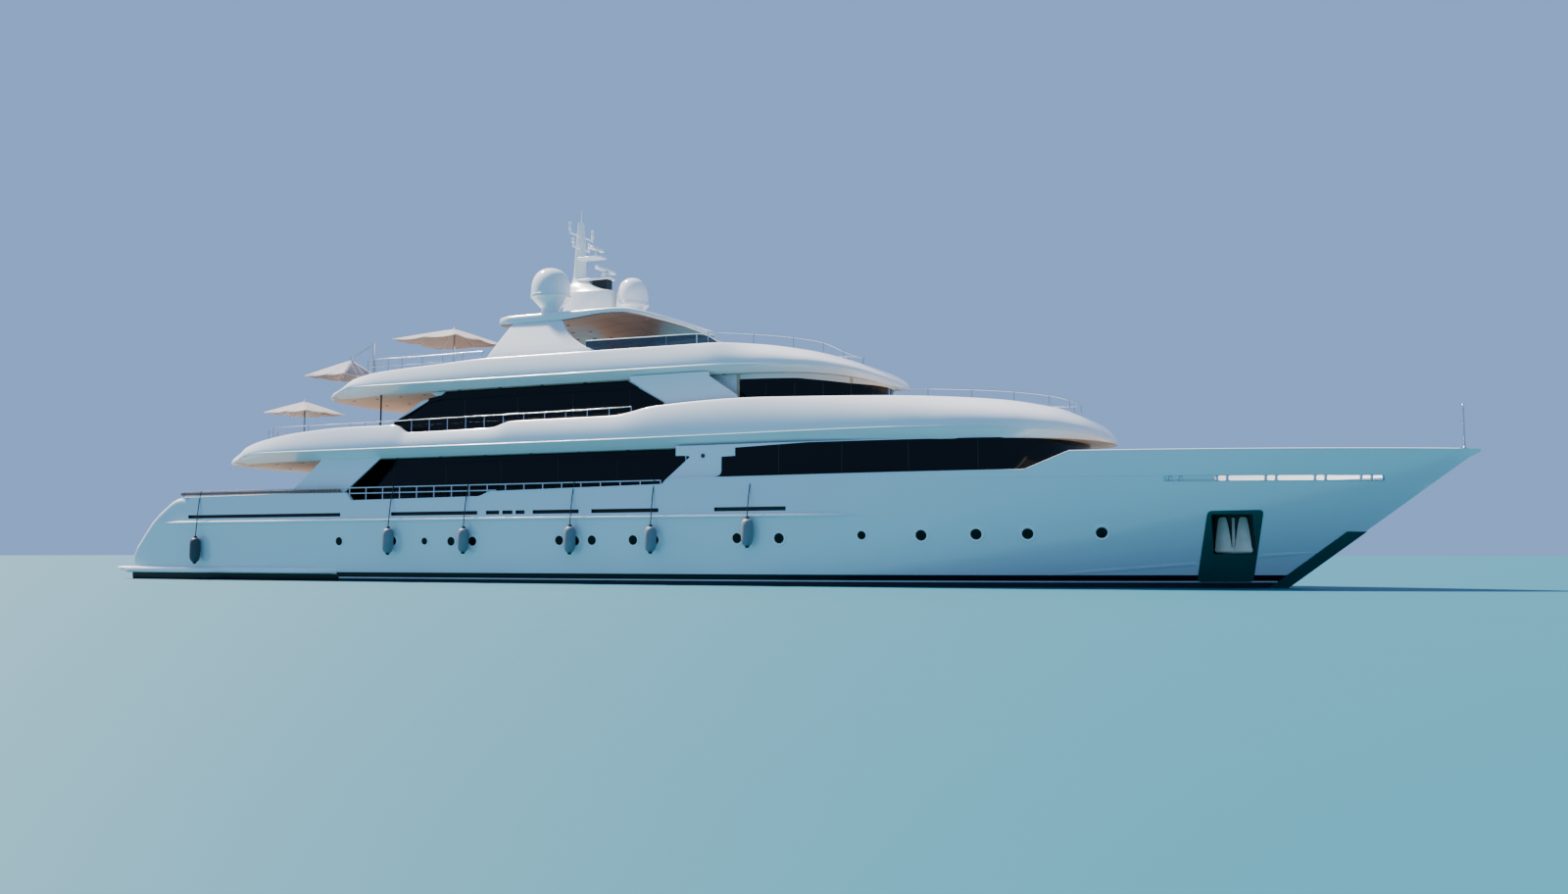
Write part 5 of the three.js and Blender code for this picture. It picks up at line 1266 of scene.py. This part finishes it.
# Varnished teak: orange brown under a thick clear coat.
varnished_teak = finish("teak_varnished", "9a6436", "7c4b26", 0.3, (0.15, 0.3), (0.02, 0.0004),
                        **{"Coat Weight": 0.8, "Coat Roughness": 0.08})
SEAT = [(-0.06, -0.022), (0.06, -0.022), (0.06, 0.022), (-0.06, 0.022)]


def rail_line(count):
    return [(x, hull_half(x, 1.7) - 0.04) for x in parted(MAIN_RAIL["aft"], MAIN_RAIL["fore"], count)]


for name, side in SIDES:
    top = [(x, side * y, MAIN_RAIL["z"]) for x, y in rail_line(56)]
    posts = [[(x, side * y, row_at(SHEER, x)[1] - 0.02), (x, side * y, MAIN_RAIL["z"])]
             for x, y in rail_line(28)]
    dip = [(x, y, z - 0.11) for x, y, z in top if -7.0 < x < -3.3]
    tubes(f"main_deck_rail_{name}", [top, dip] + posts, 0.0125, steel,
          nodes=[f"main_rail_{name}"])
    seats = [lerp(top[i // 2], top[i // 2 + 1], (i % 2) / 2) for i in range(42)]
    blocks = [loft([[(x + u, y + v, z) for u, v in SEAT] for z in (1.768, 1.822)]) for x, y, _ in seats]
    build(f"rail_teak_{name}", join(*blocks), [varnished_teak])


def deck_rail(name, node, half, drops, foot, more_posts=()):
    """Top rail on posts at the path's points and between them, with lower bars along part of it"""
    path = mirrored(half)
    lines = [path] + [[(x, y, z - drop) for x, y, z in path[first:last]] for first, last, drop in drops]
    spans = [(a, b) for a, b in zip(path, path[1:]) if max(a[0], b[0]) > -6 and a[1] * b[1] > 0]
    posts = path + [lerp(a, b, t) for a, b in spans for t in more_posts]
    lines += [[(x, y, foot(x)), (x, y, z)] for x, y, z in posts]
    tubes(name, lines, 0.008, steel, nodes=[node])


deck_rail("upper_deck_rail", "upper_rail", [
    (-0.5, 2.15, 3.2), (-1.9, 2.15, 3.18), (-3.3, 2.15, 3.17), (-4.6, 2.155, 3.16), (-5.9, 2.15, 3.15),
    (-7.0, 2.15, 3.145), (-8.1, 2.145, 3.14), (-9.05, 2.138, 3.13), (-9.35, 1.95, 3.125), (-9.65, 1.4, 3.12),
    (-9.85, 0.7, 3.12),
], [(7, 15, 0.14), (7, 15, 0.28), (7, 15, 0.42)],
    lambda x: 2.56 if x < -9.2 else row_at(UPPER_STATIONS, x)[6] - 0.05, (1 / 3, 2 / 3))
deck_rail("sun_deck_rail", "sun_rail", [
    (-3.95, 1.95, 4.45), (-4.9, 1.955, 4.44), (-5.9, 1.955, 4.435), (-6.6, 1.94, 4.44), (-6.88, 1.82, 4.44),
    (-7.1, 1.35, 4.44), (-7.2, 0.6, 4.44),
], [(1, 13, 0.15), (3, 11, 0.3)], lambda x: 3.855 if x < -6.8 else row_at(SUN_STATIONS, x)[6] - 0.05, (0.5,))
deck_rail("upper_deck_fore_rail", "upper_fore_rail", [
    (4.35, 1.88, 3.33), (5.0, 1.76, 3.3), (5.7, 1.58, 3.27), (6.35, 1.33, 3.23), (6.85, 0.95, 3.18),
    (7.08, 0.45, 3.14),
], [], lambda x: row_at(UPPER_STATIONS, x)[6] - 0.04)
deck_rail("sun_deck_fore_rail", "sun_fore_rail", [
    (0.9, 1.85, 4.515), (1.7, 1.62, 4.46), (2.35, 1.33, 4.398), (2.78, 0.98, 4.325), (2.98, 0.5, 4.215),
], [], lambda x: row_at(SUN_STATIONS, x)[6] - 0.04)

# Parasols: acrylic canvas stretched over eight ribs of steel tube and hemmed along its edge, on
# poles with heavy round feet.

# Woven acrylic: matt, a little fuzzy where it is seen edge-on, and light shines thinly through.
canvas, tree, place = new_material("acrylic_canvas_sand")
# The yarns lie 1 mm apart, drawn 6 mm apart so that the weave shows.
yarn = {"Vector": place, "Scale": 160.0, "Distortion": 0.4}
warp, weft = (add(tree, "ShaderNodeTexWave", yarn, bands_direction=way) for way in "XY")
weave = add(tree, "ShaderNodeMath", {0: warp.outputs["Fac"], 1: weft.outputs["Fac"]}, operation="MULTIPLY")
stain = add(tree, "ShaderNodeTexNoise", {"Vector": place, "Scale": 2.2, "Detail": 4.0})
tone = add(tree, "ShaderNodeMix", {0: stain, 6: linear("aaa6a8"), 7: linear("9b979a")}, data_type="RGBA")
bump = add(tree, "ShaderNodeBump", {"Height": weave, "Distance": 0.0008, "Strength": 0.6})
surface = add(tree, "ShaderNodeBsdfPrincipled", {
    "Base Color": tone.outputs[2], "Roughness": 0.85, "Normal": bump, "Sheen Weight": 0.25,
    "Subsurface Weight": 0.1, "Subsurface Scale": 0.01,
})
add(tree, "ShaderNodeOutputMaterial", {"Surface": surface})
# Acrylic binding tape: matt off-white against the cloth, with a fine weave.
hem_band = finish("acrylic_binding_white", "eceae4", "dedbd2", 0.2, (0.7, 0.85), (0.01, 0.0004))
FINIAL = [(0.03, -0.02), (0.034, -0.012), (0.03, -0.004), (0.012, 0.002), (0.014, 0.02), (0.008, 0.034),
          (0.0001, 0.038)]
CELLS = 24
RIB_ENDS = ((0, 0), (0.5, 0), (1, 0), (1, 0.5), (1, 1), (0.5, 1), (0, 1), (0, 0.5))
PARASOLS = [
    ("upper", -9.4, -0.9, 3.56, 3.83, 1.17, 0.0), ("sun_fore", -6.15, 0.0, 5.05, 5.33, 1.64, -0.15),
    ("sun_aft", -7.83, -1.24, 4.24, 4.596, 1.06, -0.24),
]
for name, x, y, rim_z, peak, width, lean in PARASOLS:
    half = width / 2 - 0.004

    def cloth_point(i, j):
        """Point of the cover: hangs a little between the ribs, and its edge is scalloped inward"""
        u, v = 2 * i / CELLS - 1, 2 * j / CELLS - 1
        reach = max(abs(u), abs(v))
        across_rib = min(abs(u), abs(v)) / reach if reach > 0 else 0
        sag = math.sin(math.pi * across_rib) * reach * (0.035 * width)
        tuck = 1 - 0.03 * math.sin(math.pi * across_rib) * reach ** 3
        pz = peak - 0.012 - (peak - rim_z - 0.014) * reach ** 1.08 - sag * (1 - 0.55 * reach)
        return (x + lean * reach + u * half * tuck, y + v * half * tuck, pz)

    points = [cloth_point(i, j) for i in range(CELLS + 1) for j in range(CELLS + 1)]
    corners = [i * (CELLS + 1) + j for i in range(CELLS) for j in range(CELLS)]
    cover = solid(f"parasol_cover_{name}",
                  (points, [(k, k + CELLS + 1, k + CELLS + 2, k + 1) for k in corners]))
    cover.data.materials.append(canvas)
    smooth_by_angle(cover.data, 60)
    if sum(face.normal.z for face in cover.data.polygons) < 0:
        cover.data.flip_normals()
    area = sum(face.area for face in cover.data.polygons)
    cut = math.sqrt(area) * 1.02
    thick = cover.modifiers.new("cloth", "SOLIDIFY")
    thick.thickness = 0.003
    thick.offset = -1
    settle(cover)
    edge = [cloth_point(i, 0) for i in range(CELLS)] + [cloth_point(CELLS, j) for j in range(CELLS)]
    edge += [cloth_point(CELLS - i, CELLS) for i in range(CELLS)]
    edge += [cloth_point(0, CELLS - j) for j in range(CELLS + 1)]
    tubes(f"parasol_hem_{name}", [[(a, b, c - 0.004) for a, b, c in edge]], 0.007, hem_band, sides=8, steps=2)
    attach(cover, "yacht")
    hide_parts(f"parasol_canopy_{name}")
    ribs = []
    for i, j in RIB_ENDS:
        rib = [cloth_point((0.5 + (i - 0.5) * t) * CELLS, (0.5 + (j - 0.5) * t) * CELLS)
               for t in (0.06, 0.3, 0.55, 0.8, 0.985)]
        ribs.append([(a, b, c - 0.014) for a, b, c in rib])
    tubes(f"parasol_ribs_{name}", ribs, 0.007, steel, sides=8, steps=2)
    dress(f"parasol_pole_{name}", steel)
    if name != "sun_aft":
        build(f"parasol_finial_{name}", turned([(r, peak + up) for r, up in FINIAL], 14, x, y), [hem_band])

# Fenders: rubber-covered cylinders, air filled, moulded with ribbed ends and rope eyes, hung on
# braided lines from the rail.

# Vinyl blown up tight: satin grey with small dents; the aftmost fender is charcoal.
rubber = finish("fender_vinyl_grey", "7d8790", "6b757e", 0.12, (0.35, 0.55), (0.03, 0.0006))
rubber_dark = finish("fender_vinyl_charcoal", "3f464c", "33393f", 0.12, (0.4, 0.6), (0.03, 0.0006))
# Moulded rubber: matt black.
end_rubber = finish("moulded_rubber_black", "17191b", "212427", 0.1, (0.5, 0.7), (0.02, 0.0004))
# Braided polyester: matt navy black, with the fine bumps of its braid.
line_cord = finish("braided_line_navy", "1d2328", "2b3237", 0.02, (0.7, 0.9), (0.004, 0.0008))
FENDERS = [
    (-10.92, 0.33, 0.91), (-5.78, 0.52, 1.07), (-3.99, 0.54, 1.06), (-1.62, 0.53, 1.075), (0.06, 0.545, 1.06),
    (1.957, 0.645, 1.18),
]
END_CAP = [(0.0001, 0.0), (0.03, 0.0), (0.034, 0.02), (0.052, 0.05), (0.05, 0.06)]
radius = 0.106
for number, (x, low, high) in enumerate(FENDERS, 1):
    y = -(hull_half(x, high) + radius + 0.004)
    rows = bend((0.045, low + 0.04), (radius * 0.95, low + 0.06), (radius, low + 0.19), 8)
    rows += [(radius * 1.01, (low + high) / 2), (radius, high - 0.16)]
    rows += bend((radius, high - 0.16), (radius * 0.95, high - 0.05), (0.045, high - 0.04), 8, 1)
    build(f"fender_body_{number}", turned(rows, 32, x, y), [rubber_dark if number == 1 else rubber],
          [f"fender_{number}"], crease=40)
    caps = [turned([(r, low + up) for r, up in END_CAP], 20, x, y),
            turned([(r, high - up) for r, up in reversed(END_CAP)], 20, x, y)]
    build(f"fender_ends_{number}", join(*caps), [end_rubber], crease=40)
    rail_y = min(rail_line(56), key=lambda place: abs(place[0] - x))[1]
    hang = [(x, y, high - 0.01), (x, y + 0.012, high + 0.12), (x, y + 0.06, 1.555),
            (x, -(rail_y + 0.02), 1.8), (x, -(rail_y + 0.0175), 1.853)]
    tubes(f"fender_line_{number}", [hang], 0.009, line_cord, sides=8, steps=6)

# Underwater gear: cast bronze propellers on their shafts, steel rudders and fins in antifouling.
# They are the CAD's own, bolted to the hull below the boot top.

# Nickel bronze as cast and ground fair: warm yellow-brown with a soft grain.
bronze = finish("nickel_bronze_cast", "a98a4c", "8f7340", 0.15, (0.25, 0.4), (0.02, 0.0004),
                **{"Metallic": 1.0})
for name, _ in SIDES:
    dress(f"propeller_{name}", bronze)
    dress(f"rudder_{name}", antifouling)
    dress(f"stabilizer_{name}", antifouling)

# Anchors: forged steel, galvanised, drawn up with their flukes outward against the back of each
# pocket.

# Hot-dip galvanising: pale and warm, made paler and warmer still as painted light, so that the anchors
# look sunlit in the shade of their pockets; a mottled and slightly rough skin.
zinc_painted_light = finish("galvanised_forging_painted_light", "f6e8d6", "d8cbb8", 0.09, (0.45, 0.65), (0.015, 0.001))


def octagon(cut):
    """Unit square with its corners cut off"""
    return [(-1, -cut), (-cut, -1), (cut, -1), (1, -cut), (1, cut), (cut, 1), (-cut, 1), (-1, cut)]


FLUKE = [
    (0.585, 0.02, 0.282, 0.05), (0.75, 0.04, 0.268, 0.045), (0.9, 0.06, 0.25, 0.036),
    (1.02, 0.08, 0.232, 0.025), (1.11, 0.1, 0.212, 0.015), (1.13, 0.115, 0.195, 0.008),
]
SHANK = ((0.6, 0.034, 0.028), (0.8, 0.028, 0.026), (1.0, 0.022, 0.024), (1.12, 0.024, 0.024))
CROWN = ((-0.285, 0.03), (-0.26, 0.05), (0, 0.056), (0.26, 0.05), (0.285, 0.03))
FLUKE_SECTION = [(0, -0.5), (0.5, -0.8), (1, -0.4), (1, 0.4), (0.75, 0.9), (0.5, 1.25), (0.25, 0.9), (0, 0.5)]
middle, back = (POCKET["x0"] + POCKET["x1"]) / 2 - 0.02, POCKET["back"] + 0.002
for name, side in SIDES:
    shank = [[(middle + u * w, side * (back + 0.03 + v * d), z) for u, v in octagon(0.6)]
             for z, w, d in SHANK]
    crown = [[(middle + off, side * (back + 0.05 + 0.05 * v), 0.61 + w * u) for u, v in octagon(0.5)]
             for off, w in CROWN]
    flukes = [loft([[(middle + hand * (near + (far - near) * u), side * (back + 0.09 + v * d), z)
                     for u, v in FLUKE_SECTION] for z, near, far, d in FLUKE]) for hand in (-1, 1)]
    build(f"stockless_anchor_{name}", join(loft(shank), loft(crown), *flukes), [zinc_painted_light],
          [f"anchor_{name}"], crease=40)
